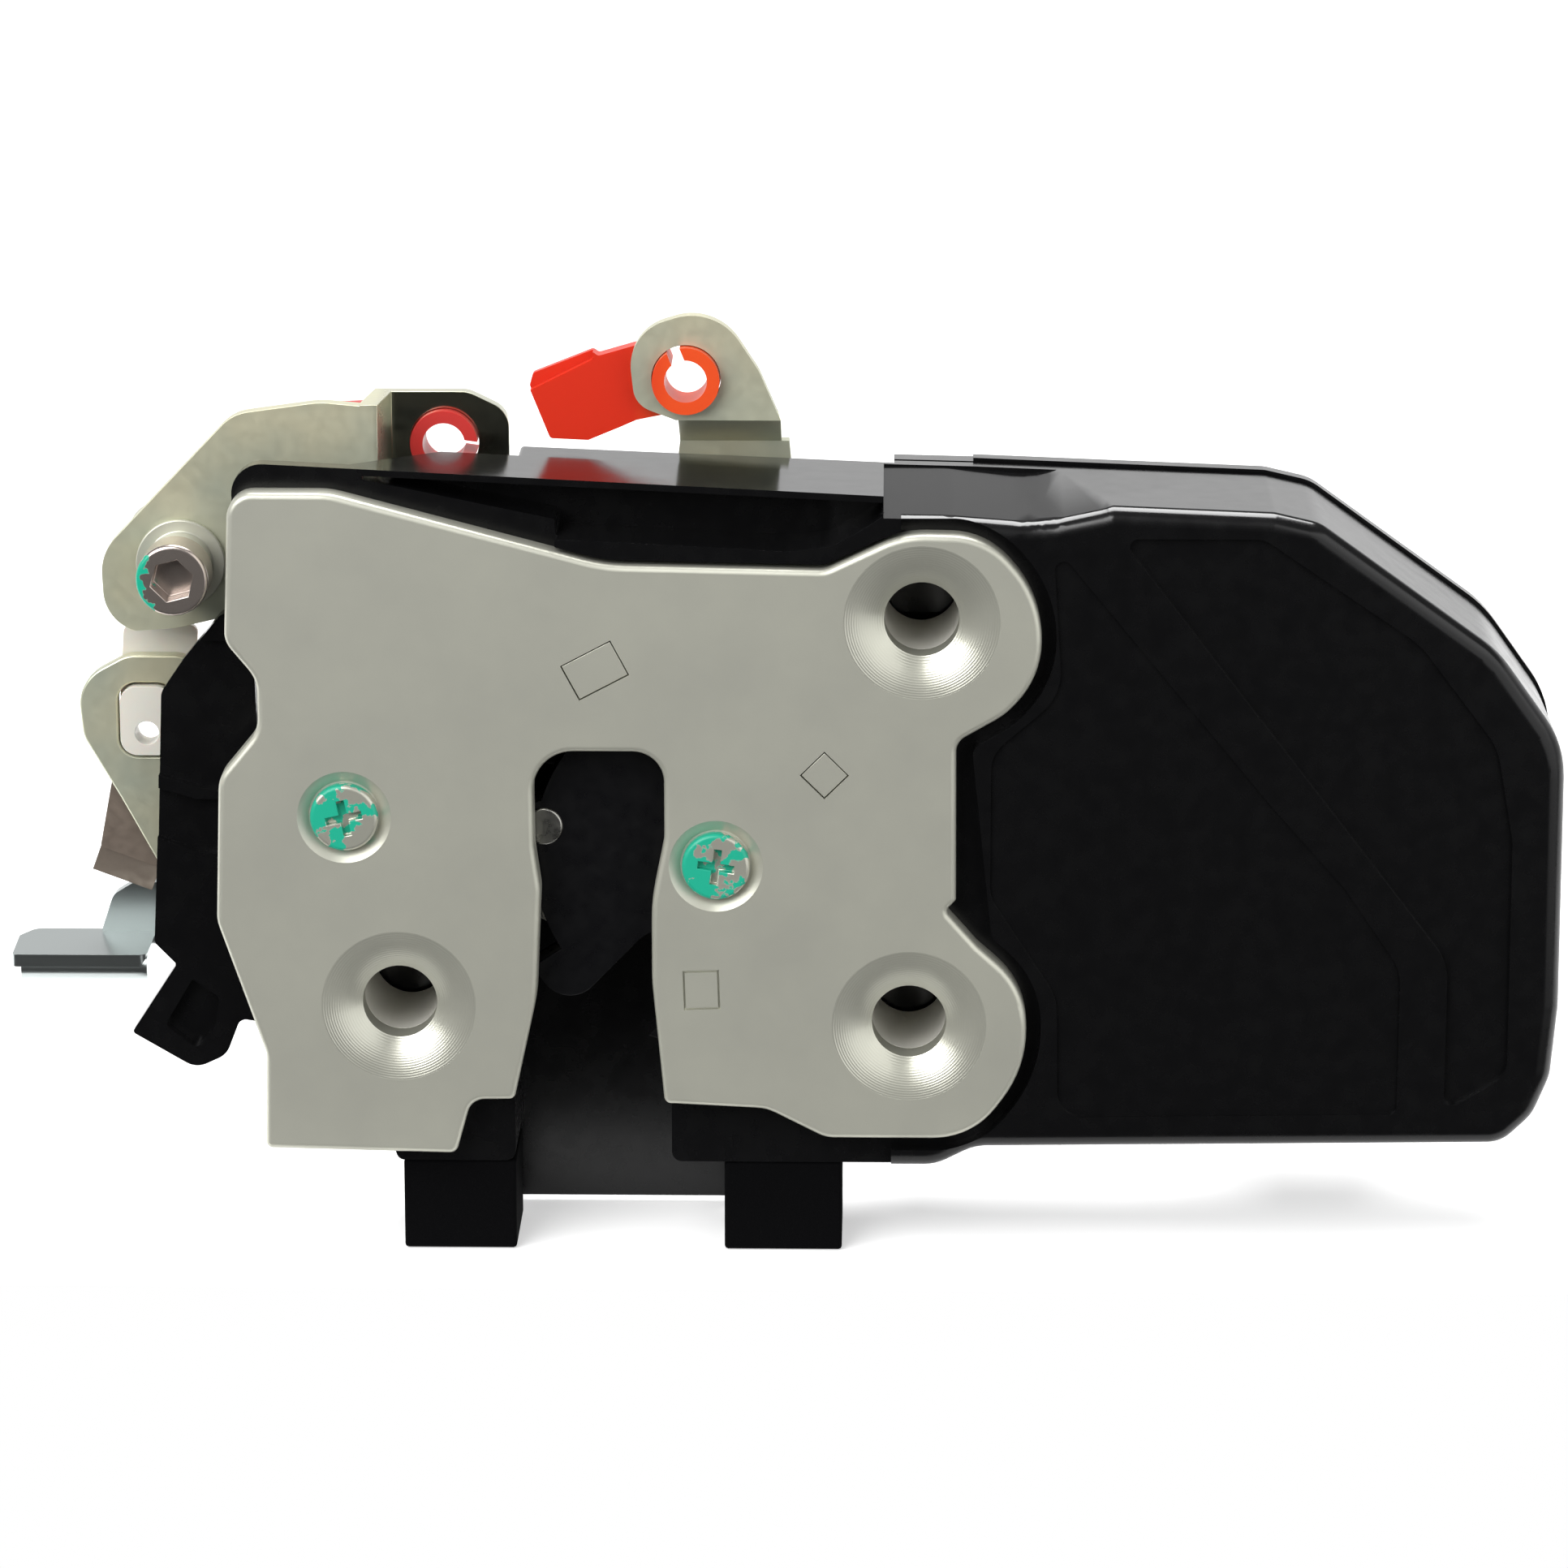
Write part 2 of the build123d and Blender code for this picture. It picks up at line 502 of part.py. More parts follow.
def back_plate():
    """Steel plate behind the housing floor, with two legs to the front plate."""
    face = outline([(-15.5, 41.5, 2.0), (-33.5, 45.5, 4.0), (-31.0, 55.5, 4.0), (-19.0, 56.5, 4.0),
                    (-8.0, 45.0, 5.0), (10.0, 45.2, 3.0), (22.0, 46.0, 2.0), (56.0, 52.6, 4.0),
                    (56.0, 37.6, 2.0), (51.5, 34.0, 2.0), (51.5, 10.0, 3.0), (34.5, 8.0, 3.0),
                    (33.7, 34.0, 1.0), (10.7, 34.0, 1.0), (10.7, 12.0, 3.0), (-8.0, 10.0, 3.0),
                    (-13.0, 1.5, 3.0), (-25.0, 1.5, 4.0), (-25.5, 14.0, 4.0), (-15.5, 20.0, 4.0)])
    plate = slab(face, FLOOR_BACK, BACK_PLATE_BACK)
    for tenon in (TENON_A, TENON_B):
        plate += slab(key(tenon, LEG_STEP), PLATE_BACK, FLOOR_BACK + 0.5)
        plate += slab(key(tenon), FACE + 0.1, PLATE_BACK + 0.1)
    for axis, pin in ((FORK_AXIS, POST_TAIL_D), (PAWL_AXIS, POST_TAIL_D), (SIDE_AXIS, SIDE_PIN_D - 1),
                      (LEVER_AXIS, BOLT_D), (LOCK_AXIS, LOCK_PIN_D - 1)):
        plate -= bar(axis, pin + 0.04, FLOOR_BACK - 1, BACK_PLATE_BACK + 1)
    for bore in BORES:
        plate -= bar(bore, GUIDE_BACK_D + 2 * LOOSE, FLOOR_BACK - 1, BACK_PLATE_BACK + 1)
    return plate - slab(lift_slot_face(), FLOOR_BACK - 1, BACK_PLATE_BACK + 1)


def pivot_post(axis, diameter):
    """Shouldered steel post between the front plate and the riveted end behind."""
    post = bar(axis, diameter, PLATE_BACK, FLOOR_FRONT)
    post += bar(axis, POST_TAIL_D, FLOOR_FRONT, BACK_PLATE_BACK)
    post += bar(axis, POST_HEAD_D, BACK_PLATE_BACK, BACK_PLATE_BACK + POST_RIVET_T)
    return post - bar(axis, SCREW_D + 0.02, PLATE_BACK, PLATE_BACK + SCREW_L)


def plate_screw(axis, turn):
    """Low cheese-head screw with a cross recess and a slightly domed top."""
    seat = FACE + SCREW_DIMPLE_DEPTH
    head = bar(axis, SCREW_HEAD_D, seat - SCREW_HEAD_T, seat)
    head = fillet(head.faces().sort_by(Axis.Y)[0].edges(), 0.5)
    shank = bar(axis, SCREW_D, seat, PLATE_BACK + SCREW_L - 0.5)
    arm = Rectangle(4.2, 0.9) + Rectangle(0.9, 4.2)
    slot = slab(turned(arm, axis, turn), seat - SCREW_HEAD_T - 1, seat - SCREW_SLOT_FLOOR)
    return head + shank - slot


def plate_screws():
    """Both screws that hold the front plate to its pivot posts."""
    screws = [plate_screw(PAWL_AXIS, 12.0), plate_screw(FORK_AXIS, -8.0)]
    return Compound(children=[screw.solid() for screw in screws])


# Fork, drawn latched about its own axis and turned open
CORE_FRONT = FORK_COVER_FRONT + (FORK_COVER_T - FORK_T) / 2
MOUTH = (STRIKER[0] - FORK_AXIS[0], STRIKER[1] - FORK_AXIS[1])
COVER_GROWTH = 0.6


def mouth_face(width):
    """U-shaped mouth of the fork, open to the left when latched."""
    run = 60.0
    slot = Pos(MOUTH[0] - run / 2, MOUTH[1]) * Rectangle(run, width)
    return slot + Pos(*MOUTH) * Circle(width / 2)


def rounded_jaw(face, radius, width):
    """The fork's face with the tip of its upper jaw rounded."""
    tip = (-radius, MOUTH[1] + width / 2)
    return fillet(face.vertices().sort_by_distance(tip)[0], JAW_ROUND)


def fork_core():
    """Hardened steel fork with its latching tooth and a lobe round its pin."""
    blank = sector(FORK_R, *BACK_SECTOR) + Circle(HUB_R)
    blank += sector(TIP_R, *JAW_SECTOR) + sector(LOWER_ARM_R, *LOWER_SECTOR)
    line = pawl_line()
    tooth = sector(TOOTH_R, TOOTH_ANGLE - TOOTH_SPAN, TOOTH_ANGLE + 8)
    point = tooth_point()
    beyond = Rot(Z=line) * (Pos(-20.0, 0) * Rectangle(40.0, 80.0))
    tooth -= Pos(point[0] - FORK_AXIS[0], point[1] - FORK_AXIS[1]) * beyond
    blank += tooth
    blank = rounded_jaw(blank - mouth_face(MOUTH_W), TIP_R, MOUTH_W)
    blank = turned(blank, FORK_AXIS, FORK_SWING) + Pos(*FORK_PIN) * Circle(FORK_PIN_D / 2 + FORK_PIN_WALL)
    core = slab(blank, CORE_FRONT, CORE_FRONT + FORK_T)
    core -= bar(FORK_AXIS, FORK_POST_D + 2 * RUNNING, CORE_FRONT - 1, CORE_FRONT + FORK_T + 1)
    return core - bar(FORK_PIN, FORK_PIN_D, CORE_FRONT - 1, CORE_FRONT + FORK_T + 1)


def fork_cover_face():
    """Field of the fork that is clad in plastic, at rest."""
    width = MOUTH_W - 2 * COVER_GROWTH
    clad = sector(FORK_R + COVER_GROWTH, *BACK_SECTOR) + Circle(HUB_R + COVER_GROWTH)
    clad += sector(TIP_R + COVER_GROWTH, *JAW_SECTOR)
    clad += sector(LOWER_ARM_R + COVER_GROWTH, LOWER_SECTOR[0], COVER_END)
    clad = rounded_jaw(clad - mouth_face(width), TIP_R + COVER_GROWTH, width)
    clad = turned(clad, FORK_AXIS, FORK_SWING) + Pos(*FORK_PIN) * Circle(FORK_PIN_D / 2 + FORK_PIN_WALL)
    return clad - Pos(*FORK_AXIS) * Circle(COVER_EYE_D / 2)


def fork_cover():
    """Plastic moulded over the fork to quieten it."""
    cover = slab(fork_cover_face(), FORK_COVER_FRONT, FORK_COVER_FRONT + FORK_COVER_T)
    cover -= fork_core()
    return cover - bar(FORK_PIN, FORK_PIN_D, FORK_COVER_FRONT - 1, FORK_COVER_FRONT + FORK_COVER_T + 1)


def fork_pin():
    """Steel pin riveted through the fork and its cover."""
    back = FORK_COVER_FRONT + FORK_COVER_T
    pin = bar(FORK_PIN, FORK_PIN_D, FORK_COVER_FRONT - 0.25, back)
    return fillet(pin.faces().sort_by(Axis.Y)[0].edges(), 0.3)


def pawl_place(face):
    """A face of the pawl, drawn along its working line, turned to the lifted rest."""
    return turned(face, PAWL_AXIS, pawl_line() + PAWL_LIFT)


def pawl():
    """Steel pawl that props the fork in its latched place."""
    reach = pawl_reach() - 0.15
    arm = outline([(-2.0, -6.0, 0.0), (15.0, -4.6, 3.0), (reach, -3.0, 0.6), (reach, 2.8, 1.0),
                   (12.0, 5.4, 6.0), (-2.0, 6.0, 0.0)])
    blank = arm + Circle(PAWL_BOSS_R)
    body = slab(pawl_place(blank), CORE_FRONT, CORE_FRONT + PAWL_T)
    body -= bar(PAWL_AXIS, PAWL_POST_D + 2 * RUNNING, CORE_FRONT - 1, CORE_FRONT + PAWL_T + 1)
    pin = pawl_place(Pos(LIFT_PIN_REACH, 0) * Circle(LIFT_PIN_D / 2))
    return body - slab(pin, CORE_FRONT - 1, CORE_FRONT + PAWL_T + 1)


def pawl_lift_pin():
    """Pin on the pawl that reaches back through the floor to the release levers."""
    pin = pawl_place(Pos(LIFT_PIN_REACH, 0) * Circle(LIFT_PIN_D / 2))
    return slab(pin, CORE_FRONT, BACK_PLATE_BACK + 2.2)


def coil(centre, radius, wire, front, turns, legs):
    """Wound spring about Y with two straight legs (angle, length) along the turn."""
    pitch = wire * 1.12
    height = pitch * turns
    helix = Helix(pitch=pitch, height=height, radius=radius)
    path = Pos(centre[0], front + wire / 2, centre[1]) * Rot(X=-90) * helix
    start = path @ 0
    section = Plane(origin=start, z_dir=path % 0) * Circle(wire / 2)
    body = sweep(section, path=path)
    for at, length in zip((0, 1), legs):
        way = path % at
        away = way if at == 1 else -way
        flat = Vector(away.X, 0, away.Z).normalized()
        leg = Plane(origin=path @ at, z_dir=flat) * Circle(wire / 2)
        body += extrude(leg, amount=length)
    return body


def fork_spring():
    """Spring that throws the fork open."""
    front = FORK_COVER_FRONT + FORK_COVER_T + 0.4
    return coil(FORK_AXIS, FORK_POST_D / 2 + 1.1, 1.1, front, 1.5, (7.0, 6.0))


def pawl_spring():
    """Spring that drives the pawl against the fork."""
    front = CORE_FRONT + PAWL_T + 0.4
    return coil(PAWL_AXIS, PAWL_POST_D / 2 + 1.0, 1.0, front, 1.5, (5.0, 5.0))


def striker_bumper():
    """Rubber block at the blind end of the striker channel."""
    rubber = block(CHANNEL_LEFT + 2.0, CHANNEL_RIGHT - 2.0, FLOOR_FRONT + 0.3, CHANNEL_BACK,
                   CHANNEL_TOP - 6.0, CHANNEL_TOP)
    return fillet(rubber.edges().filter_by(Axis.Y).group_by(Axis.Z)[0], 2.0)


# Foam blocks under the housing, one each side of the striker channel
PAD_H = 10.9
PAD_D = 13.0
PAD_FRONT = FACE + 3.4
PADS = [(0.0, 13.1), (37.4, 51.1)]


def seal_pads():
    """Two closed-cell foam blocks bonded under the housing."""
    pads = [block(x0, x1, PAD_FRONT, PAD_FRONT + PAD_D, MOUTH_BOTTOM - PAD_H, MOUTH_BOTTOM)
            for x0, x1 in PADS]
    return Compound(children=[pad.solid() for pad in pads])


# Outside release lever at the upper left
LEVER_T = 2.0
LEVER_FRONT = FLOOR_BACK - SIDE_GAP - LEVER_T
LEVER_JOG = 8.0
LEVER_BOSS_D = 6.6
BUSH_FLANGE_D = 10.3
BUSH_FLANGE_T = 0.7
BUSH_SLEEVE_D = 7.4
BOLT_HEAD_D = 8.3
BOLT_HEAD_T = 5.0
BOLT_HEAD_BACK = FACE + 8.2
BOLT_SOCKET = 4.4
RED_HOLE = (4.7, 62.0)
CLIP_HOLE_D = 7.8
CLIP_HOLE_GAP = 0.1
CLIP_FLANGE_D = 7.9
CLIP_FLANGE_T = 1.4
CLIP_SEAT_D = 4.9
CLIP_SLIT = 1.6
CLIP_ARM_T = 2.6
JOG_X = -4.4
JOG_RUN = 3.0


def release_lever():
    """Outside release lever: pressed plate, cranked back to its rod eye."""
    face = outline([(-34.3, 43.0, 5.0), (-34.6, 50.4, 6.0), (-19.0, 66.8, 5.0), (-9.0, 68.2, 10.0),
                    (JOG_X, 67.8, 0.0), (JOG_X, 57.0, 0.0), (-12.0, 55.0, 5.0), (-19.0, 47.0, 6.0),
                    (-20.5, 42.9, 2.5), (-26.0, 41.6, 8.0), (-31.0, 41.2, 2.0)])
    lever = slab(face, LEVER_FRONT, LEVER_FRONT + LEVER_T)
    tab_front = LEVER_FRONT + LEVER_JOG
    tab = outline([(JOG_X + JOG_RUN, 57.0, 0.0), (JOG_X + JOG_RUN, 67.9, 0.0), (7.5, 67.9, 3.5),
                   (12.2, 65.6, 3.0), (12.2, 58.0, 4.0), (8.0, 55.8, 3.0), (1.0, 55.8, 2.0)])
    lever += slab(tab, tab_front, tab_front + LEVER_T)
    x1 = JOG_X + JOG_RUN
    step = Polyline((JOG_X, LEVER_FRONT), (JOG_X, LEVER_FRONT + LEVER_T),
                    (x1 - LEVER_T, tab_front + LEVER_T), (x1, tab_front + LEVER_T), (x1, tab_front),
                    (JOG_X + LEVER_T, LEVER_FRONT), close=True)
    lever += extrude(Plane.XY.offset(57.0) * make_face(step), amount=10.9)
    lever -= bar(LEVER_AXIS, LEVER_BOSS_D + 2 * RUNNING, LEVER_FRONT - 1, LEVER_FRONT + LEVER_T + 1)
    hole = CLIP_HOLE_D + 2 * CLIP_HOLE_GAP
    return lever - bar(RED_HOLE, hole, tab_front - 1, tab_front + LEVER_T + 1)


def pivot_bush():
    """Stepped steel bush that the release lever turns on."""
    flange_back = LEVER_FRONT - 0.1
    bush = bar(LEVER_AXIS, BUSH_SLEEVE_D, BOLT_HEAD_BACK, flange_back)
    bush += bar(LEVER_AXIS, BUSH_FLANGE_D, flange_back - BUSH_FLANGE_T, flange_back)
    bush += bar(LEVER_AXIS, LEVER_BOSS_D, flange_back, FLOOR_BACK)
    return bush - bar(LEVER_AXIS, BOLT_D + 0.04, BOLT_HEAD_BACK - 1, FLOOR_BACK + 1)


def pivot_bolt():
    """Socket cap screw through the release lever's bush."""
    head = bar(LEVER_AXIS, BOLT_HEAD_D, BOLT_HEAD_BACK - BOLT_HEAD_T, BOLT_HEAD_BACK)
    head = fillet(head.faces().sort_by(Axis.Y)[0].edges(), 0.5)
    socket = Pos(*LEVER_AXIS) * Rot(Z=15) * RegularPolygon(BOLT_SOCKET / 2, 6, major_radius=False)
    head -= slab(socket, BOLT_HEAD_BACK - BOLT_HEAD_T - 1, BOLT_HEAD_BACK - 2.2)
    return head + bar(LEVER_AXIS, BOLT_D, BOLT_HEAD_BACK, BACK_PLATE_BACK + 4.6)


def pivot_nut():
    """Weld nut behind the back plate for the cap screw."""
    face = Pos(*LEVER_AXIS) * RegularPolygon(4.0, 6, major_radius=False)
    nut = slab(face, BACK_PLATE_BACK, BACK_PLATE_BACK + 4.0)
    return nut - bar(LEVER_AXIS, BOLT_D + 0.04, BACK_PLATE_BACK - 1, BACK_PLATE_BACK + 5)


def release_spring():
    """Return spring of the release lever, wound round the weld nut."""
    return coil(LEVER_AXIS, 6.0, 1.1, BACK_PLATE_BACK + 0.3, 2.25, (8.0, 9.0))


def rod_clip(hole, front, back, arm, opening):
    """Rod clip: a slit bush snapped through an eye, with a flat arm behind it.

    arm holds corners relative to the hole; opening is the slit's angle in degrees.
    """
    bush = bar(hole, CLIP_HOLE_D, front - CLIP_FLANGE_T, back)
    arm_face = Pos(*hole) * (outline(arm) + Circle(CLIP_FLANGE_D / 2))
    body = bush + slab(arm_face, back, back + CLIP_ARM_T)
    seat = Circle(CLIP_SEAT_D / 2) + Rot(Z=opening) * (Pos(4.0, 0) * Rectangle(8.0, CLIP_SLIT))
    return body - slab(Pos(*hole) * seat, front - 5, back + 5)


def red_rod_clip():
    """Red clip of the outside release rod."""
    front = LEVER_FRONT + LEVER_JOG
    arm = [(-17.0, -2.6, 1.0), (-17.0, 3.6, 1.0), (0.0, 4.4, 0.0), (0.0, -4.4, 0.0)]
    return rod_clip(RED_HOLE, front, front + LEVER_T + 0.1, arm, -8.0)


# Side lever, bracket and inside release arm on one pin at the lower left
SIDE_LEVER_FRONT = BACK_PLATE_BACK + 0.4
SIDE_LEVER_T = 2.0
SIDE_SPACER_D = 9.4
BRACKET_FRONT = FACE + 20.5
BRACKET_T = 1.5
INSIDE_FRONT = FACE + 23.0
INSIDE_T = 1.8
WHITE_HOLE = (-30.3, 28.0)
SIDE_PIN_HEAD_D = 9.0


def side_lever():
    """Lever at the left that carries the white rod clip."""
    face = outline([(-32.5, 37.2, 4.0), (-38.4, 34.0, 5.0), (-37.8, 27.4, 4.0), (-33.6, 20.0, 10.0),
                    (-28.0, 9.4, 10.0), (-24.6, 2.0, 5.5), (-13.2, 2.0, 5.5), (-13.2, 13.6, 5.0),
                    (-20.6, 22.0, 6.0), (-22.4, 34.5, 5.0), (-26.0, 37.2, 3.0)])
    lever = slab(face, SIDE_LEVER_FRONT, SIDE_LEVER_FRONT + SIDE_LEVER_T)
    window = outline([(-33.7, 25.0, 2.2), (-33.7, 33.9, 2.2), (-26.9, 33.9, 2.2), (-26.9, 25.0, 2.2)])
    lever -= slab(window, SIDE_LEVER_FRONT - 1, SIDE_LEVER_FRONT + SIDE_LEVER_T + 1)
    return lever - bar(SIDE_AXIS, SIDE_PIN_D + 2 * RUNNING, SIDE_LEVER_FRONT - 1,
                       SIDE_LEVER_FRONT + SIDE_LEVER_T + 1)


def white_rod_clip():
    """White clip of the lock rod, snapped in the window of the side lever."""
    back = SIDE_LEVER_FRONT + SIDE_LEVER_T
    plug = outline([(-33.4, 25.3, 2.0), (-33.4, 33.6, 2.0), (-27.2, 33.6, 2.0), (-27.2, 25.3, 2.0)])
    strip = outline([(-34.2, 24.0, 1.0), (-33.0, 40.4, 1.0), (-24.3, 40.4, 1.0), (-25.6, 24.0, 1.0)])
    clip = slab(plug, SIDE_LEVER_FRONT - 0.6, back + 0.1) + slab(strip, back + 0.1, back + 1.0)
    return clip - bar(WHITE_HOLE, 2.8, SIDE_LEVER_FRONT - 2, back + 3)


def side_bracket():
    """Phosphated steel bracket that steadies the far end of the side pin."""
    face = outline([(-34.9, 22.0, 1.0), (-36.6, 13.2, 0.5), (-27.0, 9.6, 2.0), (-25.0, 2.0, 5.0),
                    (-13.0, 2.0, 5.0), (-10.9, 8.0, 1.0), (-10.9, 22.0, 1.0)])
    web = slab(face, BRACKET_FRONT, BRACKET_FRONT + BRACKET_T)
    web -= bar(SIDE_AXIS, SIDE_PIN_D + 2 * RUNNING, BRACKET_FRONT - 1, BRACKET_FRONT + BRACKET_T + 1)
    foot = block(-12.4, -10.9, BACK_PLATE_BACK, BRACKET_FRONT + BRACKET_T, 12.0, 21.0)
    lip = Polyline((BRACKET_FRONT, 0.4), (BRACKET_FRONT + BRACKET_T, 0.4),
                   (BRACKET_FRONT + 2.3, -2.8), (BRACKET_FRONT + 0.9, -3.2), close=True)
    flange = extrude(Plane(origin=(-36.6, 0, 13.2), x_dir=(0, 1, 0), z_dir=(1, 0, 0)) * make_face(lip),
                     amount=7.4)
    return web + foot + Pos(-36.6, 0, 13.2) * Rot(Y=20.5) * Pos(36.6, 0, -13.2) * flange


def side_spacers():
    """Two rings that keep the lever, bracket and arm apart on the side pin."""
    gaps = [(SIDE_LEVER_FRONT + SIDE_LEVER_T + 0.1, BRACKET_FRONT),
            (BRACKET_FRONT + BRACKET_T, INSIDE_FRONT - 0.1)]
    rings = [tube(SIDE_AXIS, SIDE_SPACER_D, SIDE_PIN_D + 2 * RUNNING, front, back)
             for front, back in gaps]
    return Compound(children=[ring.solid() for ring in rings])


def side_pin():
    """Stepped rivet that the side lever and the inside arm turn on."""
    end = INSIDE_FRONT + INSIDE_T + 0.15
    pin = bar(SIDE_AXIS, SIDE_PIN_D - 1, FLOOR_BACK, BACK_PLATE_BACK)
    pin += bar(SIDE_AXIS, SIDE_PIN_D, BACK_PLATE_BACK, end)
    return pin + bar(SIDE_AXIS, SIDE_PIN_HEAD_D, end, end + 1.2)


TONGUE_Z = 2.1
TONGUE_T = 1.5
TONGUE_FRONT = FACE + 13.0
TONGUE_LEFT = -46.4
TONGUE_RIGHT = -30.6
HEM_R = 1.75


def inside_arm():
    """Inside release arm: an upright web with a flat tongue and a hemmed front lip."""
    face = outline([(-37.0, TONGUE_Z - TONGUE_T, 0.0), (-37.0, 2.4, 0.0), (-35.6, 6.6, 2.0),
                    (-33.0, 8.2, 2.0), (-26.0, 8.0, 2.0), (-23.0, 14.2, 5.0), (-13.4, 14.2, 5.0),
                    (-13.4, 1.8, 5.0), (-24.0, 0.6, 4.0)])
    arm = slab(face, INSIDE_FRONT, INSIDE_FRONT + INSIDE_T)
    arm -= bar(SIDE_AXIS, SIDE_PIN_D + 2 * RUNNING, INSIDE_FRONT - 1, INSIDE_FRONT + INSIDE_T + 1)
    plan = FilletPolyline((TONGUE_LEFT, TONGUE_FRONT), (TONGUE_RIGHT, TONGUE_FRONT),
                          (TONGUE_RIGHT, INSIDE_FRONT + 1),
                          (-45.0, INSIDE_FRONT + 1), (-46.6, INSIDE_FRONT - 2),
                          radius=[0.5, 1.0, 0.0, 1.5, 1.0], close=True)
    arm += extrude(Plane.XY.offset(TONGUE_Z) * make_face(plan), amount=-TONGUE_T)
    length = TONGUE_RIGHT - TONGUE_LEFT - 1.0
    centre = Pos(TONGUE_RIGHT - length / 2, TONGUE_FRONT + HEM_R, TONGUE_Z - HEM_R)
    arm += centre * Rot(Y=90) * Cylinder(HEM_R, length)
    slit = block(TONGUE_LEFT, TONGUE_LEFT + 3.0, TONGUE_FRONT + HEM_R, TONGUE_FRONT + 2.5 * HEM_R,
                 TONGUE_Z - HEM_R - 0.2, TONGUE_Z - HEM_R + 0.2)
    return arm - slit


# Lock lever on top, with the orange rod clip, and the link that drives it
TOP_LEVER_FRONT = FACE + 24.0
TOP_LEVER_T = 2.0
EYE_FRONT = FACE + 18.0
EYE = (32.8, 70.0)
EYE_DROP = 4.8
TAIL_REACH = 10.0
TAIL_PIN_D = 4.0
LINK_T = 2.6
PINION_R = 5.0
LOCK_SWING = 20.0
LINK_TRAVEL = TAIL_REACH * math.radians(LOCK_SWING)


def top_lever():
    """Lock lever that stands up behind the housing, its eye cranked forward."""
    foot = outline([(31.9, 61.6, 0.0), (44.6, 61.6, 0.0), (46.0, 46.5, 8.0), (42.0, 32.9, 3.4),
                    (34.0, 32.9, 3.4), (30.0, 46.5, 8.0)])
    lever = slab(foot, TOP_LEVER_FRONT, TOP_LEVER_FRONT + TOP_LEVER_T)
    low = EYE[1] - EYE_DROP
    eye = outline([(-1.2, -EYE_DROP, 0.0), (-5.9, -3.0, 3.0), (-6.8, 5.4, 5.5), (3.4, 8.6, 6.5),
                   (8.4, 1.0, 6.0), (10.9, -EYE_DROP, 0.0)])
    lever += slab(Pos(*EYE) * eye, EYE_FRONT, EYE_FRONT + TOP_LEVER_T)
    bend = Polyline((TOP_LEVER_FRONT, 61.6), (TOP_LEVER_FRONT + TOP_LEVER_T, 61.6),
                    (EYE_FRONT + TOP_LEVER_T, low + 0.8), (EYE_FRONT, low), close=True)
    lever += extrude(Plane(origin=(31.9, 0, 0), x_dir=(0, 1, 0), z_dir=(1, 0, 0)) * make_face(bend),
                     amount=11.8)
    lever -= bar(EYE, CLIP_HOLE_D + 2 * CLIP_HOLE_GAP, EYE_FRONT - 1, EYE_FRONT + TOP_LEVER_T + 1)
    tail = (LOCK_AXIS[0], LOCK_AXIS[1] - TAIL_REACH)
    for hole, size in ((LOCK_AXIS, LOCK_PIN_D + 2 * RUNNING), (tail, TAIL_PIN_D - 1)):
        lever -= bar(hole, size, TOP_LEVER_FRONT - 1, TOP_LEVER_FRONT + TOP_LEVER_T + 1)
    return lever


def tail_pin():
    """Pin riveted in the lock lever's tail that the link pushes."""
    tail = (LOCK_AXIS[0], LOCK_AXIS[1] - TAIL_REACH)
    pin = bar(tail, TAIL_PIN_D, LINK_FRONT + 0.2, TOP_LEVER_FRONT)
    return pin + bar(tail, TAIL_PIN_D - 1, TOP_LEVER_FRONT, TOP_LEVER_FRONT + TOP_LEVER_T)


def orange_rod_clip():
    """Orange clip of the lock rod in the lock lever's eye."""
    arm = [(-5.8, -5.2, 0.5), (-7.6, -6.0, 0.5), (-11.4, -7.6, 0.5), (-15.8, -7.4, 0.5),
           (-18.2, -1.4, 0.5), (-17.8, 0.0, 0.5), (-10.8, 2.8, 0.5), (-10.2, 2.3, 0.5), (-3.0, 4.4, 1.0),
           (2.0, 3.6, 1.0), (2.0, -3.6, 1.0)]
    back = EYE_FRONT + TOP_LEVER_T + 0.1
    clip = rod_clip(EYE, EYE_FRONT, back, arm, 112.0)
    ledge = outline([(-19.0, -2.2, 0.0), (-19.0, 2.0, 0.0), (-10.8, 5.0, 0.0), (-10.8, 1.9, 0.0)])
    return clip - slab(Pos(*EYE) * ledge, back - 1, back + 1.4)


def lock_pin():
    """Stepped rivet that the lock lever turns on."""
    end = TOP_LEVER_FRONT + TOP_LEVER_T + 0.15
    pin = bar(LOCK_AXIS, LOCK_PIN_D - 1, FLOOR_BACK, BACK_PLATE_BACK)
    pin += bar(LOCK_AXIS, LOCK_PIN_D + 2.4, BACK_PLATE_BACK, TOP_LEVER_FRONT - 0.1)
    pin += bar(LOCK_AXIS, LOCK_PIN_D, TOP_LEVER_FRONT - 0.1, end)
    return pin + bar(LOCK_AXIS, LOCK_PIN_D + 3.4, end, end + 1.2)


